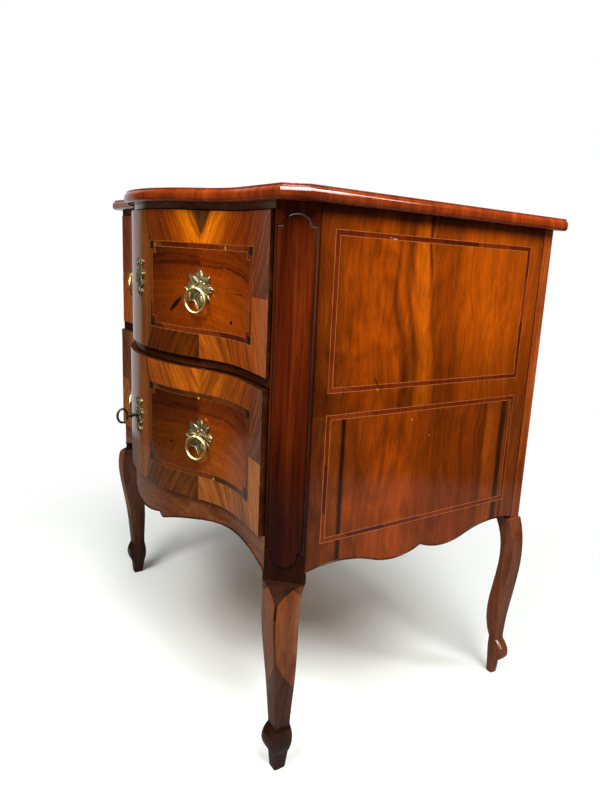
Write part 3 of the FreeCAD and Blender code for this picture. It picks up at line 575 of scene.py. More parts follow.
# Glossy upright walnut, bright in its sapwood seam, dark in its veins and clouded towards the front
side_veneer, tree = new_material("walnut side veneer")
place = add(tree, "TexCoord", out=3)
spot = add(tree, "SeparateXYZ", [place]).node.outputs
grain = figured(tree, place)
upper_half = add(tree, "Math", [spot[2], sheet_seam], operation="GREATER_THAN")
waves = add(tree, "VectorMath", [place, sway_waves], operation="MULTIPLY")
sway = add(tree, "TexNoise", {"Vector": waves, "Scale": 1.0, "Detail": 3.0, "Roughness": 0.5})
sway = add(tree, "MapRange", [sway, *middle_span, -side_sway, side_sway])
drift = add(tree, "MapRange", [spot[2], drift_foot, drift_head, drift_reach, 0.0],
            interpolation_type="SMOOTHSTEP")
swayed = add(tree, "Math", [add(tree, "Math", [spot[1], sway], operation="ADD"), drift], operation="ADD")
steady = add(tree, "Math", [sway, lower_sway_share, spot[1]], operation="MULTIPLY_ADD")
sheets = []
for depth, stops in ((steady, lower_sheet), (swayed, upper_sheet)):
    share = add(tree, "MapRange", [depth, side_near, side_far, 0.0, 1.0])
    sheets.append(add(tree, "ValToRGB", [share], stops=stops))
colour = add(tree, "MixRGB", [upper_half, *sheets])
print("streaks wander by", side_sway)

# %% A dark vein, clouds and fine streaks
vein_middle, vein_half_width, vein_dark = 0.0300, 0.0045, 0.95
vein_foot, vein_head = 0.700, 0.760
# A cloud is about 75 mm wide and 125 mm tall
swirl_waves = (13.0, 13.0, 8.0)
cloud_tones, streak_tones = (0.66, 1.34), (0.80, 1.18)
wild_end, calm_start, calm_share = -0.02, 0.07, 0.45

from_vein = add(tree, "Math", [swayed, vein_middle], operation="SUBTRACT")
from_vein = add(tree, "Math", [from_vein], operation="ABSOLUTE")
vein = add(tree, "MapRange", [from_vein, 0.0, vein_half_width, vein_dark, 0.0])
vein_rise = add(tree, "MapRange", [spot[2], vein_foot, vein_head, 0.0, 1.0])
vein = add(tree, "Math", [vein, vein_rise], operation="MULTIPLY")
colour = add(tree, "MixRGB", [vein, colour, linear("#341303")])
waves = add(tree, "VectorMath", [place, swirl_waves], operation="MULTIPLY")
swirl = add(tree, "TexNoise", {"Vector": waves, "Scale": 1.0, "Detail": 2.5, "Distortion": 2.4})
clouded = add(tree, "MapRange", [swirl, *narrow_span, *cloud_tones])
wild = add(tree, "MapRange", [spot[1], wild_end, calm_start, 1.0, calm_share],
           interpolation_type="SMOOTHSTEP")
colour = add(tree, "MixRGB", [wild, colour, clouded], blend_type="MULTIPLY")
streaked = add(tree, "MapRange", [grain["Streak"], *middle_span, *streak_tones])
colour = add(tree, "MixRGB", [1.0, colour, streaked], blend_type="MULTIPLY")
print("streak nodes", len(tree.nodes))

# %% Darker foot of the upper sheet, painted shade under the top, dark joints, inlaid frames and side marks
panel_low, panel_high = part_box("side_panel_right")
panel_middle_y, panel_half_depth = (panel_low.y + panel_high.y) / 2, (panel_high.y - panel_low.y) / 2
foot_height, foot_share = 0.16, 0.52
painted_shade_height, painted_shade_share = 0.026, 0.25
joint_start, joint_end, joint_dark = 0.0036, 0.0012, 0.85
# Each frame's middle height and half height
side_frames = ((0.6853, 0.1060), (0.45655, 0.09225))
frame_middle_y, frame_half_depth = 0.0544, 0.1863
# A notch far below nought leaves the corners plain
side_band, no_notch = 0.0070, -1.0
band_length = 0.07
side_marks = [(-0.0365, 0.7852, 0.0050, 0.0012, -3.0, "#B0917A"),
              (-0.0440, 0.7870, 0.0028, 0.0009, 0.0, "#9A7A5C"),
              (-0.0520, 0.5900, 0.0090, 0.0016, -62.0, "#481C0C"),
              (-0.0490, 0.5790, 0.0020, 0.0020, 0.0, "#C07A34"),
              (0.0560, 0.5010, 0.0010, 0.0012, 0.0, "#D09050"),
              (0.0190, 0.5290, 0.0012, 0.0014, 0.0, "#D8A060")]

foot = add(tree, "MapRange", [spot[2], sheet_seam, sheet_seam + foot_height, foot_share, 1.0],
           interpolation_type="SMOOTHSTEP")
foot = add(tree, "MixRGB", [upper_half, white, foot])
# Painted shade: the side darkens just under the overhang of the top
painted_shade = add(tree, "MapRange", [spot[2], panel_high.z - painted_shade_height, panel_high.z, 1.0, painted_shade_share],
            interpolation_type="SMOOTHSTEP")
for shade in (foot, painted_shade):
    colour = add(tree, "MixRGB", [1.0, colour, shade], blend_type="MULTIPLY")
tone = lengths(tree, add(tree, "Math", [spot[1], spot[2]], operation="ADD"), band_length)
across = add(tree, "Math", [spot[1], frame_middle_y], operation="SUBTRACT")
for middle, half in side_frames:
    up = add(tree, "Math", [spot[2], middle], operation="SUBTRACT")
    colour = inlaid(tree, colour, colour, (across, up), (frame_half_depth, half, side_band, no_notch), tone,
                    ("#4E1606", "#661E08", "#803010"), "#A8682E")
colour = marked(tree, colour, spot[1], spot[2], side_marks)
edge = add(tree, "Math", [spot[1], panel_middle_y], operation="SUBTRACT")
edge = add(tree, "Math", [edge], operation="ABSOLUTE")
edge = add(tree, "MapRange", [edge, panel_half_depth - joint_start, panel_half_depth - joint_end,
                              0.0, joint_dark])
colour = add(tree, "MixRGB", [edge, colour, linear("#1C0A04")])
polished(tree, colour, grain, veins=0.20, fibres=0.26, pores=0.12)
print("side veneer nodes", len(tree.nodes))

# %% [markdown]
# ## Drawer veneer
# The drawer fronts are the show faces. A border of walnut is cut in four matched quarters whose grain
# slants out from the middle of the panel, so the joints make a V above and an inverted V below. An upright
# tongue stands in the middle, and inside the inlaid frame lies a quieter sheet with an arched figure.
# Separate meshes for the pieces would show their edges, so one material cuts them all. The pattern has to
# follow the bent front, so it reads a UV map in metres: the way along the serpentine, and the height above
# the lower edge.

# %% The border's four quarters
border_slant = math.radians(28.0)
border_wander = 0.010
border_start, border_end = -0.06, 0.16
border_span, border_tones = (0.32, 0.68), (0.55, 1.38)


def border_wood(tree, along, beyond, rise, border, low_border, painted_quarter_light):
    """The colour and the grain of the border. Beyond is the way past the seam of a panel, and the painted
    quarter light holds the shares of painted light of the two upper and the two lower quarters."""
    far, high = (add(tree, "Math", [way], operation="ABSOLUTE") for way in (beyond, rise))
    right = add(tree, "Math", [beyond, 0.0], operation="GREATER_THAN")
    low = add(tree, "Math", [rise, 0.0], operation="LESS_THAN")
    half = add(tree, "Math", [along], operation="SIGN")
    slant = [add(tree, "Math", [way, ratio(border_slant)], operation="MULTIPLY")
             for way, ratio in ((far, math.sin), (high, math.cos), (far, math.cos), (high, math.sin))]
    with_grain = add(tree, "Math", slant[:2], operation="ADD")
    across = add(tree, "Math", slant[2:], operation="SUBTRACT")
    # Every quarter gets a number, so that each is cut from another slice of the figure
    quarter = add(tree, "Math", [low, 2.0, right], operation="MULTIPLY_ADD")
    quarter = add(tree, "Math", [quarter, half], operation="ADD")
    grain = figured(tree, add(tree, "CombineXYZ", [across, quarter, with_grain]))
    wander = add(tree, "MapRange", [grain["Streak"], *wide_span, -border_wander, border_wander])
    across = add(tree, "Math", [across, wander], operation="ADD")
    share = add(tree, "MapRange", [across, border_start, border_end, 0.0, 1.0])
    colour = add(tree, "MixRGB", [low] + [add(tree, "ValToRGB", [share], stops=stops)
                                          for stops in (border, low_border)])
    tint = add(tree, "MixRGB", [low] + [add(tree, "MapRange", [right, 0.0, 1.0, *pair]) for pair in painted_quarter_light])
    veined = add(tree, "MapRange", [grain["Vein"], *border_span, *border_tones])
    for shade in (tint, veined):
        colour = add(tree, "MixRGB", [1.0, colour, shade], blend_type="MULTIPLY")
    return colour, grain


print("border slants by", border_slant)

# %% The tongue in the middle
# A slice is the depth in the figure that a leaf is cut from, in metres
tongue_taper, tongue_slice = 0.014, 5.0
tongue_joint, tongue_joint_edge, tongue_joint_dark = 0.0004, 0.0012, 0.8


def tongue_wood(tree, colour, along, up, rise, half_width, low, high, tones):
    """Lays the upright tongue over the border. It is as wide as the frames leave it up to the height where
    they end, low, and tapers from there to the drawer's edge, high."""
    out = add(tree, "Math", [along], operation="ABSOLUTE")
    height = add(tree, "Math", [rise], operation="ABSOLUTE")
    edge = add(tree, "MapRange", [height, low, high, half_width, half_width - tongue_taper])
    inward = add(tree, "Math", [edge, out], operation="SUBTRACT")
    grain = figured(tree, add(tree, "CombineXYZ", [along, tongue_slice, up]))
    within = add(tree, "Math", [inward, 0.0], operation="GREATER_THAN")
    colour = add(tree, "MixRGB", [within, colour, streaks(tree, grain, tones)])
    joint = add(tree, "Math", [inward], operation="ABSOLUTE")
    joint = add(tree, "MapRange", [joint, tongue_joint, tongue_joint_edge, tongue_joint_dark, 0.0])
    return add(tree, "MixRGB", [joint, colour, linear("#2A1408")])


print("tongue tapers by", tongue_taper)

# %% The arched field
arch_offset, arch_bend, arch_slice = 0.035, 1.1, 3.0
arch_drift, arch_reach, arch_tones = 0.008, 0.08, (0.74, 1.20)
light_start, light_end = 0.04, 0.30


def field_wood(tree, out, beyond, rise, stops, tones):
    """The sheet inside the frame, with a figure like an arch. The tones are shares of painted light, from the
    chest's middle out.
    """
    right = add(tree, "Math", [beyond, 0.0], operation="GREATER_THAN")
    bow = add(tree, "Math", [beyond, arch_offset], operation="ADD")
    bow = add(tree, "Math", [bow, 2.0], operation="POWER")
    arch = add(tree, "Math", [bow, arch_bend, rise], operation="MULTIPLY_ADD")
    leaf = add(tree, "Math", [right, arch_slice], operation="ADD")
    grain = figured(tree, add(tree, "CombineXYZ", [arch, leaf, beyond]))
    drift = add(tree, "MapRange", [grain["Streak"], *wide_span, -arch_drift, arch_drift])
    drifted = add(tree, "Math", [arch, drift], operation="ADD")
    share = add(tree, "MapRange", [drifted, -arch_reach, arch_reach, 0.0, 1.0])
    colour = add(tree, "ValToRGB", [share], stops=stops)
    outward = add(tree, "MapRange", [out, light_start, light_end, 0.0, 1.0])
    light = add(tree, "ValToRGB", [outward], stops=tones)
    combed = add(tree, "MapRange", [grain["Vein"], *narrow_span, *arch_tones])
    for shade in (light, combed):
        colour = add(tree, "MixRGB", [1.0, colour, shade], blend_type="MULTIPLY")
    return colour


print("arch bends by", arch_bend)

# %% One drawer's veneer
drawer_band, drawer_notch = 0.0080, 0.0180
drawer_band_length = 0.06


def marquetry(name, seam, middle, frame_middle, frame_half, border, low_border, painted_quarter_light, tongue, field, tones,
              inlays, marks):
    """The veneer of one drawer front. Places are metres along the front and above its lower edge. The borders
    and the field are colours across the grain; the painted quarter light and the tones are shares of painted
    light."""
    material, tree = new_material(name)
    along, up = add(tree, "SeparateXYZ", [add(tree, "UVMap", uv_map="veneer")]).node.outputs[:2]
    out = add(tree, "Math", [along], operation="ABSOLUTE")
    beyond = add(tree, "Math", [out, seam], operation="SUBTRACT")
    rise = add(tree, "Math", [up, middle], operation="SUBTRACT")
    colour, grain = border_wood(tree, along, beyond, rise, border, low_border, painted_quarter_light)
    tongue_half = frame_middle[0] - frame_half[0]
    colour = tongue_wood(tree, colour, along, up, rise, tongue_half, frame_half[1], middle, tongue)
    panel = field_wood(tree, out, beyond, rise, field, tones)
    tone = lengths(tree, add(tree, "Math", [out, up], operation="ADD"), drawer_band_length)
    frame_place = [add(tree, "Math", [way, place], operation="SUBTRACT")
                   for way, place in zip((out, up), frame_middle)]
    colour = inlaid(tree, colour, panel, frame_place, (*frame_half, drawer_band, drawer_notch), tone, *inlays)
    colour = marked(tree, colour, along, up, marks)
    polished(tree, colour, grain, veins=0.05)
    return material


print("drawer band", drawer_band)

# %% The two drawers' veneers
# Honey to red-brown walnut under a bright polish, parted by a dark red band between two pale lines. The
# lower drawer is the browner one.
# The quarter shares and the field's tones are painted light, brighter or darker by quarter and along the
# front
upper_veneer = marquetry(
    "walnut veneer upper drawer", seam=0.159, middle=0.1025,
    frame_middle=(0.1625, 0.1025), frame_half=(0.1215, 0.0665),
    border=[(0.00, "#46260A"), (0.094, "#64360E"), (0.112, "#B4560A"), (0.15, "#DA7208"), (0.20, "#C86206"),
            (0.26, "#A04604"), (0.36, "#883604"), (0.50, "#7C3208"), (0.70, "#783612"), (1.0, "#703614")],
    low_border=[(0.00, "#6E3008"), (0.20, "#7E3C08"), (0.40, "#6A2C06"), (0.60, "#7A380A"), (1.0, "#7C3C10")],
    painted_quarter_light=((0.92, 1.10), (0.62, 2.05)),
    tongue=("#623010", "#7A3F14", "#8E4D1A"),
    inlays=(("#561A08", "#6C240A", "#843410"), "#A0682E"),
    field=[(0.00, "#873502"), (0.25, "#9A4002"), (0.45, "#A34502"), (0.62, "#983E03"), (0.72, "#8B3503"),
           (0.755, "#541B03"), (0.775, "#833203"), (0.80, "#652203"), (0.83, "#813203"), (1.00, "#6E2803")],
    tones=[(0.00, 0.40), (0.15, 0.46), (0.30, 0.62), (0.44, 0.82), (0.48, 1.02), (0.62, 1.10), (0.78, 1.00),
           (1.0, 0.85)],
    marks=[(0.1105, 0.077, 0.020, 0.0042, 42.0, "#1E0A04"),
           (0.2245, 0.0600, 0.0036, 0.0034, 0.0, "#240C04"),
           (0.2390, 0.1015, 0.0220, 0.0006, -2.0, "#2A1006"),
           (0.2080, 0.1640, 0.0014, 0.0036, 0.0, "#C89848"),
           (0.0560, 0.1630, 0.0018, 0.0036, 0.0, "#A87A3C")])
lower_veneer = marquetry(
    "walnut veneer lower drawer", seam=0.165, middle=0.1045,
    frame_middle=(0.1700, 0.1045), frame_half=(0.1260, 0.0665),
    border=[(0.00, "#A4520E"), (0.10, "#AA560E"), (0.16, "#86400A"), (0.24, "#A8540E"), (0.32, "#8A420A"),
            (0.45, "#94480E"), (0.60, "#743614"), (0.80, "#6E3A1C"), (1.0, "#6C3C1E")],
    low_border=[(0.00, "#603210"), (0.30, "#6A3A14"), (0.50, "#582E0E"), (0.70, "#6E3E16"), (1.0, "#76461A")],
    painted_quarter_light=((1.30, 1.08), (0.88, 2.45)),
    tongue=("#673718", "#7E441C", "#935422"),
    inlays=(("#46200A", "#5A2A0C", "#6E3612"), "#7A4A20"),
    field=[(0.00, "#823A0A"), (0.30, "#8C420B"), (0.55, "#863C08"), (0.70, "#783106"), (0.735, "#742F08"),
           (0.76, "#4E1F08"), (0.785, "#6C2C08"), (0.90, "#5E2408"), (1.00, "#501B08")],
    tones=[(0.00, 0.36), (0.15, 0.42), (0.35, 0.52), (0.46, 0.62), (0.50, 1.14), (0.75, 1.28), (0.92, 1.1),
           (1.0, 0.9)],
    marks=[(0.1070, 0.0840, 0.0042, 0.0034, 20.0, "#2A0E04"),
           (0.1790, 0.1320, 0.0036, 0.0024, -35.0, "#C8661A"),
           (0.2900, 0.0440, 0.0070, 0.0100, 0.0, "#3A2216"),
           (0.1640, 0.1630, 0.0018, 0.0022, 0.0, "#D8B070"),
           (0.1955, 0.0405, 0.0018, 0.0022, 0.0, "#D8B070")])
print("drawer veneers", upper_veneer.name, lower_veneer.name)

# %% [markdown]
# ## Legs with leaf panels
# The knees of the front legs carry a paler leaf of walnut on each show face, cut to a point below and
# bounded by the dark ridge of the leg. The leaf is let in flush, so it is a change of wood and not of
# shape: the material finds it from the height, from the way to the ridge and from the way a face looks.

# %% Leaf panels on the front legs
post_low, post_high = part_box("front_post_right")
corner_x, corner_y = post_high.x, post_low.y
leaf_foot, leaf_head = 0.212, 0.306
leaf_middle, leaf_bow = 0.017, 0.008
leaf_drop, leaf_curve = 0.60, 0.6
leaf_facing = 0.78, 0.86

# Dark glossy walnut with a paler leaf let in, darker towards the toe
leaf_leg_wood, tree = new_material("walnut legs with leaf panels")
place = add(tree, "TexCoord", out=3)
spot = add(tree, "SeparateXYZ", [place]).node.outputs
looks = add(tree, "SeparateXYZ", [add(tree, "NewGeometry", out=3)]).node.outputs
side = add(tree, "Math", [spot[0]], operation="SIGN")
reach = add(tree, "Math", [spot[0]], operation="ABSOLUTE")
reach = add(tree, "Math", [corner_x, reach], operation="SUBTRACT")
back = add(tree, "Math", [spot[1], corner_y], operation="SUBTRACT")
from_ridge = add(tree, "Math", [reach, back], operation="SUBTRACT")
from_ridge = add(tree, "Math", [from_ridge], operation="ABSOLUTE")
outward = add(tree, "Math", [looks[0], side], operation="MULTIPLY")
forward = add(tree, "Math", [looks[1], -1.0], operation="MULTIPLY")
square_on = add(tree, "Math", [outward, forward], operation="MAXIMUM")
square_on = add(tree, "MapRange", [square_on, *leaf_facing, 0.0, 1.0])
foot_line = add(tree, "Math", [from_ridge, leaf_curve], operation="POWER")
foot_line = add(tree, "Math", [foot_line, -leaf_drop, leaf_foot], operation="MULTIPLY_ADD")
head_line = add(tree, "Math", [from_ridge, leaf_middle], operation="SUBTRACT")
head_line = add(tree, "Math", [head_line, leaf_middle], operation="DIVIDE")
head_line = add(tree, "Math", [head_line, 2.0], operation="POWER")
head_line = add(tree, "Math", [head_line, -leaf_bow, leaf_head], operation="MULTIPLY_ADD")
leaf = add(tree, "Math", [spot[2], foot_line], operation="GREATER_THAN")
under_head = add(tree, "Math", [spot[2], head_line], operation="LESS_THAN")
for mask in (under_head, square_on):
    leaf = add(tree, "Math", [leaf, mask], operation="MULTIPLY")
print("leaf from", leaf_foot, "to", leaf_head)

# %% The woods of the front legs
toe_heights, toe_share = (0.07, 0.10), 0.45
ridge_tones, leaf_tones = ("#32190E", "#4E2D1E", "#66402E"), ("#5E2A10", "#7E4421", "#945833")
grain = figured(tree, place)
colour = add(tree, "MixRGB", [leaf] + [streaks(tree, grain, tones) for tones in (ridge_tones, leaf_tones)])
darker_toe = add(tree, "MapRange", [spot[2], *toe_heights, toe_share, 1.0])
polished(tree, add(tree, "MixRGB", [1.0, colour, darker_toe], blend_type="MULTIPLY"), grain, veins=0.2)

# Nearly black waxed wood, with hardly any mirror left, where hands don't polish: the neck and the toe's
# ledge.
# The wood is dark, and darker still as painted shade on faces that look up at the lamps
neck_wood_painted_shade = solid_wood("waxed leg neck with painted shade", upright, ("#1C0E08", "#2A150C", "#361D12"),
                       coat=0.02, gloss=0.4)
print("leg woods", leaf_leg_wood.name, neck_wood_painted_shade.name)

# %% [markdown]
# ## Brass and iron
# The plates are cast brass, dull and brown in the hollows; the rings and their eyes are drawn brass that
# hands have kept bright; the lock and its key are forged iron. One even metal would look new, so a fine
# cloud of noise gives each its tarnish: it moves the colour, the roughness and a slight bump together.

# %% Brass and iron
tarnish_stops = 0.3, 0.5, 0.7
tarnish_rough = 1.3, 0.8
tarnish_height, tarnish_strength = 0.0005, 0.2


def metal(name, tones, rough, grit):
    """A tarnished metal. The tones run from its hollows to its rubbed places; grit is a cloud's width."""
    material, tree = new_material(name)
    place = add(tree, "TexCoord", out=3)
    cloud = add(tree, "TexNoise", {"Vector": place, "Scale": 1 / grit, "Detail": 4.0})
    colour = add(tree, "ValToRGB", [cloud], stops=list(zip(tarnish_stops, tones)))
    shine = add(tree, "MapRange", [cloud, *narrow_span, *(rough * share for share in tarnish_rough)])
    bump = add(tree, "Bump", {"Height": cloud, "Strength": tarnish_strength, "Distance": tarnish_height})
    shader = add(tree, "BsdfPrincipled", {"Base Color": colour, "Metallic": 1.0, "Roughness": shine,
                                          "Normal": bump})
    add(tree, "OutputMaterial", [shader])
    return material


# Dull grey-gold with brown hollows
aged_brass = metal("aged cast brass", ("#41392A", "#7C7150", "#ABA078"), rough=0.46, grit=0.004)
# Pale gold with soft highlights
bright_brass = metal("polished brass", ("#A88F5A", "#CBB075", "#E6D29C"), rough=0.38, grit=0.012)
# Brown-black with a dull gleam on its edges
dark_iron = metal("dark iron", ("#1E1814", "#3A2F27", "#5A4C40"), rough=0.45, grit=0.005)
print("materials", len(bpy.data.materials))

# %% [markdown]
# ## Dressing a piece
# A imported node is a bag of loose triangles. Its object could keep its own mesh, but its edges would be
# razor sharp. So a copy of it is merged into one skin, its flat faces are joined, its sharp edges are eased
# with a narrow bevel as a maker's hand would leave them, and it is shaded smooth wherever the surface bends
# gently. The copy then stands for the node and moves with the node's body.

# %% Helpers that dress a node
merge_distance = 1e-6
flat_angle = math.radians(0.4)


def pick(piece):
    """Selects one piece and nothing else."""
    bpy.ops.object.select_all(action="DESELECT")
    piece.select_set(True)
    bpy.context.view_layer.objects.active = piece


def dress(node, *materials, ease=0.0007, smooth=35.0):
    """A merged, eased and smooth copy of a node that stands for it."""
    piece = bpy.data.objects.new(node + "_finish", nodes[node].data.copy())
    bpy.context.scene.collection.objects.link(piece)
    pick(piece)
    bpy.ops.mesh.customdata_custom_splitnormals_clear()
    bpy.ops.object.mode_set(mode="EDIT")
    bpy.ops.mesh.select_all(action="SELECT")
    bpy.ops.mesh.remove_doubles(threshold=merge_distance)
    bpy.ops.mesh.dissolve_limited(angle_limit=flat_angle)
    bpy.ops.object.mode_set(mode="OBJECT")
    if ease:
        bevel = piece.modifiers.new("ease", "BEVEL")
        bevel.width = ease
        bevel.segments = 2
        bevel.limit_method = "ANGLE"
        bevel.angle_limit = math.radians(smooth)
        bpy.ops.object.modifier_apply(modifier=bevel.name)
    bpy.ops.object.shade_smooth_by_angle(angle=math.radians(smooth))
    if ease:
        flats = piece.modifiers.new("flats", "WEIGHTED_NORMAL")
        flats.keep_sharp = True
        bpy.ops.object.modifier_apply(modifier=flats.name)
    piece.data.materials.clear()
    for material in materials:
        piece.data.materials.append(material)
    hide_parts(node)
    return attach(piece, nodes[node]["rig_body"])


print("merge distance", merge_distance)

# %% [markdown]
# ## Fronts and sides
# Only the show face of a drawer front is veneered: its edges are dark walnut and its back is bare oak. The
# faces are picked by where they look, and each gets its own finish. Unwrapping would stretch the pattern,
# so the UV map of the front comes from the three arcs of the serpentine, walked from the middle to the end.

# %% The serpentine and its UV map
# The hollow lies at a share of the front's half width, and the crown ends at a share of the way to the hollow
valley_share, crown_share = 0.75, 0.65
swell, end_radius = 0.066, 0.960
front_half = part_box("upper_drawer_front")[1].x
valley_x = valley_share * front_half
swell_angle = 2 * math.atan(swell / valley_x)
crown_radius = crown_share * valley_x / math.sin(swell_angle)
hollow_radius = (1 - crown_share) * valley_x / math.sin(swell_angle)
crown_end = crown_radius * math.sin(swell_angle)


def way_along(x):
    """The way along the serpentine from the middle to a place across the chest."""
    reach = abs(x)
    if reach < crown_end:
        way = crown_radius * math.asin(reach / crown_radius)
    elif reach < valley_x:
        left = math.asin((valley_x - reach) / hollow_radius)
        way = crown_radius * swell_angle + hollow_radius * (swell_angle - left)
    else:
        past = end_radius * math.asin((reach - valley_x) / end_radius)
        way = (crown_radius + hollow_radius) * swell_angle + past
    return math.copysign(way, x)


def map_front(piece, foot):
    """Gives a piece the UV map that its veneer reads."""
    layer = piece.data.uv_layers.new(name="veneer")
    for loop in piece.data.loops:
        place = piece.data.vertices[loop.vertex_index].co
        layer.data[loop.index].uv = (way_along(place.x), place.z - foot)


print("front half way", round(way_along(front_half), 4))

# %% Veneer the fronts and the sides
level_slope, end_slope, side_slope = 0.3, 0.9, 0.7
for drawer, veneer in (("upper", upper_veneer), ("lower", lower_veneer)):
    node = drawer + "_drawer_front"
    front = dress(node, veneer, rail_wood, oak_wide)
    map_front(front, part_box(node)[0].z)
    for face in front.data.polygons:
        flat = abs(face.normal.z) < level_slope and abs(face.normal.x) < end_slope
        face.material_index = (0 if face.normal.y < 0 else 2) if flat else 1
for side, outward in (("left", -1), ("right", 1)):
    panel = dress("side_panel_" + side, side_veneer, rail_wood, pine_up)
    for face in panel.data.polygons:
        looks = face.normal.x * outward
        face.material_index = 0 if looks > side_slope else 2 if looks < -side_slope else 1
print("fronts and sides veneered")

# %% [markdown]
# ## Posts, legs, rails and top
# A raised panel lies in the canted face of each front post, with a groove all round that has filled with
# dirt and dark wax and lies in shade, which is painted in. Painting the groove by a mask would miss its real
# edges, so the faces that lie just under the canted face get that nearly black finish of dirt and painted
# shade, and so do the posts' narrow front edges beside the drawers. The scooped neck of a front leg and the
# ledge of its toe are waxed, and dark with painted shade. The top is a veneered board in a frame of
# cross-grained mouldings, and the little step between them and the board gets the dirt and painted shade too.

# %% Posts, their panels and the legs
groove_near, groove_far = 0.0002, 0.0022
edge_slope = -0.9
scoop_cant, scoop_foot, neck_foot = 0.25, 0.268, 0.3062
ledge_slope, toe_top = 0.3, 0.09
leg_finish = {"ease": 0.0009, "smooth": 50.0}


def from_corner(place):
    """How far a place lies in from the corner that the post would have without its cant."""
    return (corner_x - abs(place.x)) + (place.y - corner_y)


cant_reach = min(from_corner(vertex.co) for vertex in nodes["front_post_right"].data.vertices)
for side in ("left", "right"):
    post = dress("front_post_" + side, post_wood, groove_dirt_and_shade)
    for face in post.data.polygons:
        below_cant = (from_corner(face.center) - cant_reach) / math.sqrt(2)
        in_groove = groove_near < below_cant < groove_far
        # The groove and the narrow front edges take the finish of dirt and painted shade
        face.material_index = 1 if in_groove or face.normal.y < edge_slope else 0
    dress("post_panel_" + side, post_wood)
    dress("rear_post_" + side, rear_post_wood)
    leg = dress("front_leg_" + side, leaf_leg_wood, neck_wood_painted_shade, **leg_finish)
    for face in leg.data.polygons:
        canted = min(abs(face.normal.x), -face.normal.y) > scoop_cant and face.center.z > scoop_foot
        ledge = face.normal.z > ledge_slope and not toe_top < face.center.z < scoop_foot
        # The neck, its scoop and the toe's ledge take the dark wood with painted shade
        face.material_index = 1 if canted or ledge or face.center.z > neck_foot else 0
    dress("rear_leg_" + side, rear_leg_wood, **leg_finish)
print("cant reach", round(cant_reach, 4))

# %% Top and rails
step_depth, step_slope = 0.0016, 0.4
step_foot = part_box("top_board")[1].z - step_depth
for node, wood in (("top_moulding_front", front_moulding_wood), ("top_moulding_left", side_moulding_wood),
                   ("top_moulding_right", side_moulding_wood), ("top_board", top_veneer)):
    piece = dress(node, wood, groove_dirt_and_shade, ease=0)
    for face in piece.data.polygons:
        # The step under the board's lip takes the finish of dirt and painted shade
        face.material_index = 1 if face.center.z > step_foot and face.normal.z < step_slope else 0
# The top rail's light, grey tones are painted sheen and light under the overhang
dress("front_top_rail", top_rail_wood_painted_sheen)
dress("front_mid_rail", rail_wood)
dress("front_apron", apron_wood)
print("top step from", round(step_foot, 4))

# %% [markdown]
# ## Insides and back
# What the drawers and the back hide is plain joinery: oak linings, pine runners and boards, iron locks.
# They are dressed like the rest, apart from the back boards. Those lie edge to edge, and merging would glue
# them into one, so that node stays as it is and gets a pine that draws each board's tone and the joints
# between them.

# %% Insides and back
back_board_count = 3
for node in ("front_bottom_rail", "bottom_board", "dust_board", "back_rail_top", "back_rail_bottom",
             "drawer_stops", "glue_blocks"):
    dress(node, pine_wide)
for node in ("runners_upper", "runners_lower", "kickers", "drawer_guides"):
    dress(node, pine_long)
back_low, back_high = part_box("back_boards")
back_board_height = (back_high.z - back_low.z) / back_board_count
# Bare pine boards laid sideways, each a tone of its own
back_pine = solid_wood("pine back boards", sideways, pine_tones, sway=0.5, coat=0.0,
                       boards=(back_low.z, back_board_height))
nodes["back_boards"].data.materials.clear()
nodes["back_boards"].data.materials.append(back_pine)
for drawer in ("upper", "lower"):
    for part, material in (("_drawer_back", oak_wide), ("_drawer_bottom", oak_wide), ("_lock", dark_iron),
                           ("_lock_bolt", dark_iron), ("_drawer_side_left", oak_long),
                           ("_drawer_side_right", oak_long)):
        dress(drawer + part, material)
print("insides dressed")

# %% [markdown]
# ## Cast brass
# Each ring hangs in an eye on a star-shaped plate. The star was cast with a leaf in each point, a wreath of
# beads round the eye and two pins that hold it. The copy of the plain plate gets a narrow rim by sinking
# its face. The leaf and the bead could be sculpted on each plate, but they repeat, so they are modelled
# once, as a swollen four-sided point and half a ball, and strewn over the plate in the flat. The relief is
# then laid on the bent front: each point of it is carried to the place on the serpentine that lies the same
# way across, which keeps it seated from any side.

# %% Sink the faces of the plates
plate_rim, plate_sink = 0.0013, 0.0005
plate_slope, plate_smooth = 0.9, math.radians(35.0)


def sunk_face(piece, out):
    """Sinks the show face of a cast plate inside a narrow rim."""
    pick(piece)
    bpy.context.tool_settings.mesh_select_mode = (False, False, True)
    for part in (piece.data.vertices, piece.data.edges, piece.data.polygons):
        part.foreach_set("select", [False] * len(part))
    for face in piece.data.polygons:
        face.select = face.normal.dot(out) > plate_slope
    bpy.ops.object.mode_set(mode="EDIT")
    bpy.ops.mesh.inset(thickness=plate_rim, depth=-plate_sink)
    bpy.ops.object.mode_set(mode="OBJECT")
    bpy.ops.object.shade_smooth_by_angle(angle=plate_smooth)


joints = {joint["name"]: joint for joint in frame["joints"]}
seats = {}
for drawer in ("upper", "lower"):
    node = drawer + "_escutcheon"
    sunk_face(dress(node, aged_brass, ease=0), Vector((0, -1, 0)))
    low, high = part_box(node)
    seats[node] = (drawer, (low + high) / 2, Vector((1, 0, 0)))
    dress(drawer + "_ring_staples", bright_brass, ease=0)
    for side in ("left", "right"):
        node = drawer + "_backplate_" + side
        joint = joints[drawer + "_ring_" + side + "_swing"]
        rightward = -Vector(joint["axis"])
        sunk_face(dress(node, aged_brass, ease=0), Vector((rightward.y, -rightward.x, 0)))
        seats[node] = (drawer, Vector(joint["pos_m"]), rightward)
        dress(drawer + "_ring_" + side, bright_brass, ease=0)
dress("lower_key", dark_iron, ease=0)
print("plates", len(seats))

# %% Model a leaf and a bead
bead_cut = 0.05


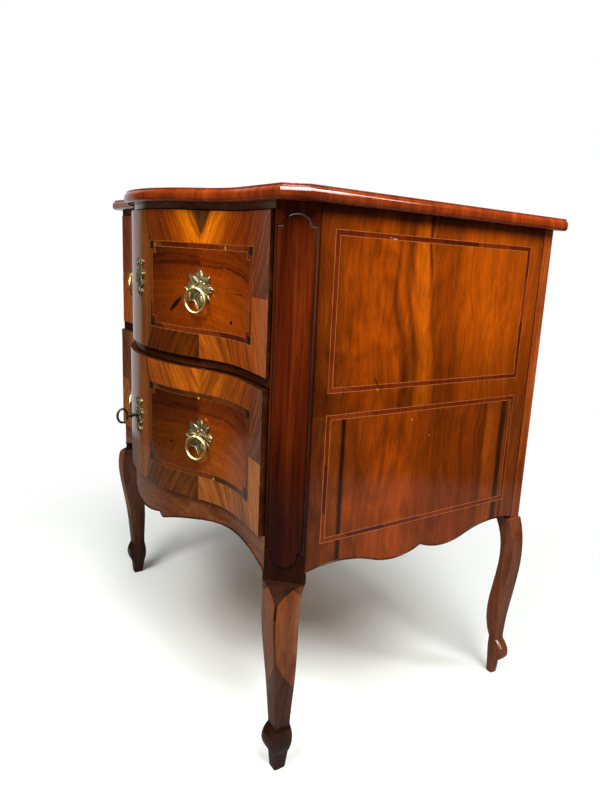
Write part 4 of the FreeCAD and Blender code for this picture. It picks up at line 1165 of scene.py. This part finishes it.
def new_form(name):
    """Names the form that was just added, and leaves it in object mode."""
    bpy.ops.object.mode_set(mode="OBJECT")
    bpy.context.object.name = name
    return bpy.context.object


bpy.ops.object.select_all(action="DESELECT")
bpy.ops.mesh.primitive_cone_add(vertices=4, radius1=1, depth=1, location=(0, -0.5, 0),
                                rotation=(math.pi / 2, 0, 0))
bpy.ops.object.transform_apply(location=True, rotation=True, scale=True)
bpy.ops.object.mode_set(mode="EDIT")
bpy.ops.mesh.select_all(action="SELECT")
bpy.ops.mesh.subdivide(number_cuts=3, smoothness=0.5)
cast_leaf = new_form("cast_leaf")

bpy.ops.object.select_all(action="DESELECT")
bpy.ops.mesh.primitive_uv_sphere_add(segments=12, ring_count=8, radius=1)
bpy.ops.object.mode_set(mode="EDIT")
bpy.ops.mesh.select_all(action="SELECT")
bpy.ops.mesh.bisect(plane_co=(0, bead_cut, 0), plane_no=(0, 1, 0), use_fill=True, clear_outer=True)
cast_bead = new_form("cast_bead")
print("leaf", len(cast_leaf.data.polygons), "bead", len(cast_bead.data.polygons))

# %% Set out the relief of the star and of the keyhole plate
star_count, star_squeeze = 8, 0.88
star_leaf_reach, star_leaf_size = 0.0176, (0.0040, 0.0085, 0.0011)
star_bead_reach, star_bead_size = 0.0095, (0.0018, 0.0018, 0.0015)
pin_across, pin_up, pin_size = 0.0190, -0.0050, (0.0017, 0.0017, 0.0019)

# Each piece of relief: its form, its place across and up, its half width, half length and height, its turn
star_relief = []
for i in range(star_count):
    turn = i * math.tau / star_count
    for form, reach, size in ((cast_leaf, star_leaf_reach, star_leaf_size),
                              (cast_bead, star_bead_reach, star_bead_size)):
        place = (reach * math.sin(turn) * star_squeeze, reach * math.cos(turn))
        star_relief.append((form, place, size, turn))
for across in (-pin_across, pin_across):
    star_relief.append((cast_bead, (across, pin_up), pin_size, 0.0))
lock_relief = [(cast_leaf, (0.0, 0.0225), (0.0036, 0.0070, 0.0017), 0.0),
               (cast_leaf, (0.0, -0.0225), (0.0034, 0.0065, 0.0017), 0.0)]
for hand in (-1, 1):
    lock_relief += [(cast_bead, (hand * 0.0085, 0.0212), (0.0026, 0.0026, 0.0016), 0.0),
                    (cast_leaf, (hand * 0.0070, 0.0125), (0.0024, 0.0060, 0.0014), hand * 0.45),
                    (cast_bead, (hand * 0.0135, 0.0058), (0.0024, 0.0024, 0.0016), 0.0),
                    (cast_leaf, (hand * 0.0100, -0.0062), (0.0030, 0.0075, 0.0015), -hand * 0.30),
                    (cast_bead, (hand * 0.0118, -0.0118), (0.0022, 0.0022, 0.0015), 0.0),
                    (cast_bead, (hand * 0.0068, -0.0238), (0.0024, 0.0024, 0.0015), 0.0)]
print("relief pieces", len(star_relief), len(lock_relief))

# %% Strew the relief over the plates
relief_smooth = math.radians(40.0)


def strewn(name, relief):
    """Copies leaves and beads to their places on a flat plate and joins them into one relief."""
    copies = []
    for form, (across, up), (half_width, half_length, height), turn in relief:
        copy = bpy.data.objects.new(name, form.data.copy())
        bpy.context.scene.collection.objects.link(copy)
        copy.data.transform(Matrix.Translation((across, 0, up)) @ Matrix.Rotation(turn, 4, "Y")
                            @ Matrix.Diagonal((half_width, height, half_length, 1)))
        copies.append(copy)
    pick(copies[0])
    for copy in copies:
        copy.select_set(True)
    bpy.ops.object.join()
    bpy.ops.object.shade_smooth_by_angle(angle=relief_smooth)
    return copies[0]


print("relief smoothed below", relief_smooth)

# %% Lay the relief on the bent fronts
relief_stand = 0.0014


def front_line(x, crown_y):
    """How far forward the serpentine lies at a place across the chest."""
    reach = abs(x)
    if reach < crown_end:
        return crown_y + crown_radius - math.sqrt(crown_radius ** 2 - reach ** 2)
    sunk = hollow_radius - math.sqrt(hollow_radius ** 2 - (valley_x - reach) ** 2)
    return crown_y + swell - sunk


for node, (drawer, middle, rightward) in seats.items():
    relief = strewn(node + "_relief", lock_relief if "escutcheon" in node else star_relief)
    out = Vector((rightward.y, -rightward.x, 0))
    crown_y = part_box(drawer + "_drawer_front")[0].y
    for vertex in relief.data.vertices:
        across, depth, up = vertex.co
        x = middle.x + across * rightward.x
        vertex.co = Vector((x, front_line(x, crown_y), middle.z + up)) + out * (relief_stand - depth)
    relief.data.materials.append(aged_brass)
    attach(relief, drawer + "_drawer")
for form in (cast_leaf, cast_bead):
    bpy.data.objects.remove(form)
print("reliefs", len(seats))

# %% [markdown]
# ## Bead under the scallops
# A thin dark bead runs along the scalloped lower edge of the apron and of both sides. It could be swept
# along a drawn curve, but it follows an edge that is already there, so the edge is copied out of the piece,
# turned into a curve with a round section, and made a mesh.

# %% Bead along the scalloped edges
bead_radius, bead_smooth = 0.0013, math.radians(50.0)
show_slope, under_slope = 0.5, -0.2


def edge_bead(node, out):
    """A bead along the edges where the show face of a node meets its scalloped underside."""
    bead = bpy.data.objects.new(node + "_bead", nodes[node].data.copy())
    bpy.context.scene.collection.objects.link(bead)
    pick(bead)
    bpy.context.tool_settings.mesh_select_mode = (False, True, False)
    bpy.ops.object.mode_set(mode="EDIT")
    bpy.ops.mesh.select_all(action="SELECT")
    bpy.ops.mesh.remove_doubles(threshold=merge_distance)
    bpy.ops.mesh.select_all(action="DESELECT")
    bpy.ops.object.mode_set(mode="OBJECT")
    show, under = set(), set()
    for face in bead.data.polygons:
        if face.normal.dot(out) > show_slope:
            show.update(face.edge_keys)
        elif face.normal.z < under_slope:
            under.update(face.edge_keys)
    for edge in bead.data.edges:
        edge.select = edge.key not in show & under
    bpy.ops.object.mode_set(mode="EDIT")
    bpy.ops.mesh.delete(type="EDGE")
    bpy.ops.object.mode_set(mode="OBJECT")
    bpy.ops.object.convert(target="CURVE")
    bead.data.bevel_depth = bead_radius
    bead.data.bevel_resolution = 2
    bead.data.use_fill_caps = True
    bpy.ops.object.convert(target="MESH")
    bpy.ops.object.shade_smooth_by_angle(angle=bead_smooth)
    bead.data.materials.clear()
    bead.data.materials.append(rail_wood)
    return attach(bead, "carcass")


beads = (("front_apron", (0, -1, 0)), ("side_panel_left", (-1, 0, 0)), ("side_panel_right", (1, 0, 0)))
for node, out in beads:
    print(node, "bead", len(edge_bead(node, Vector(out)).data.polygons))
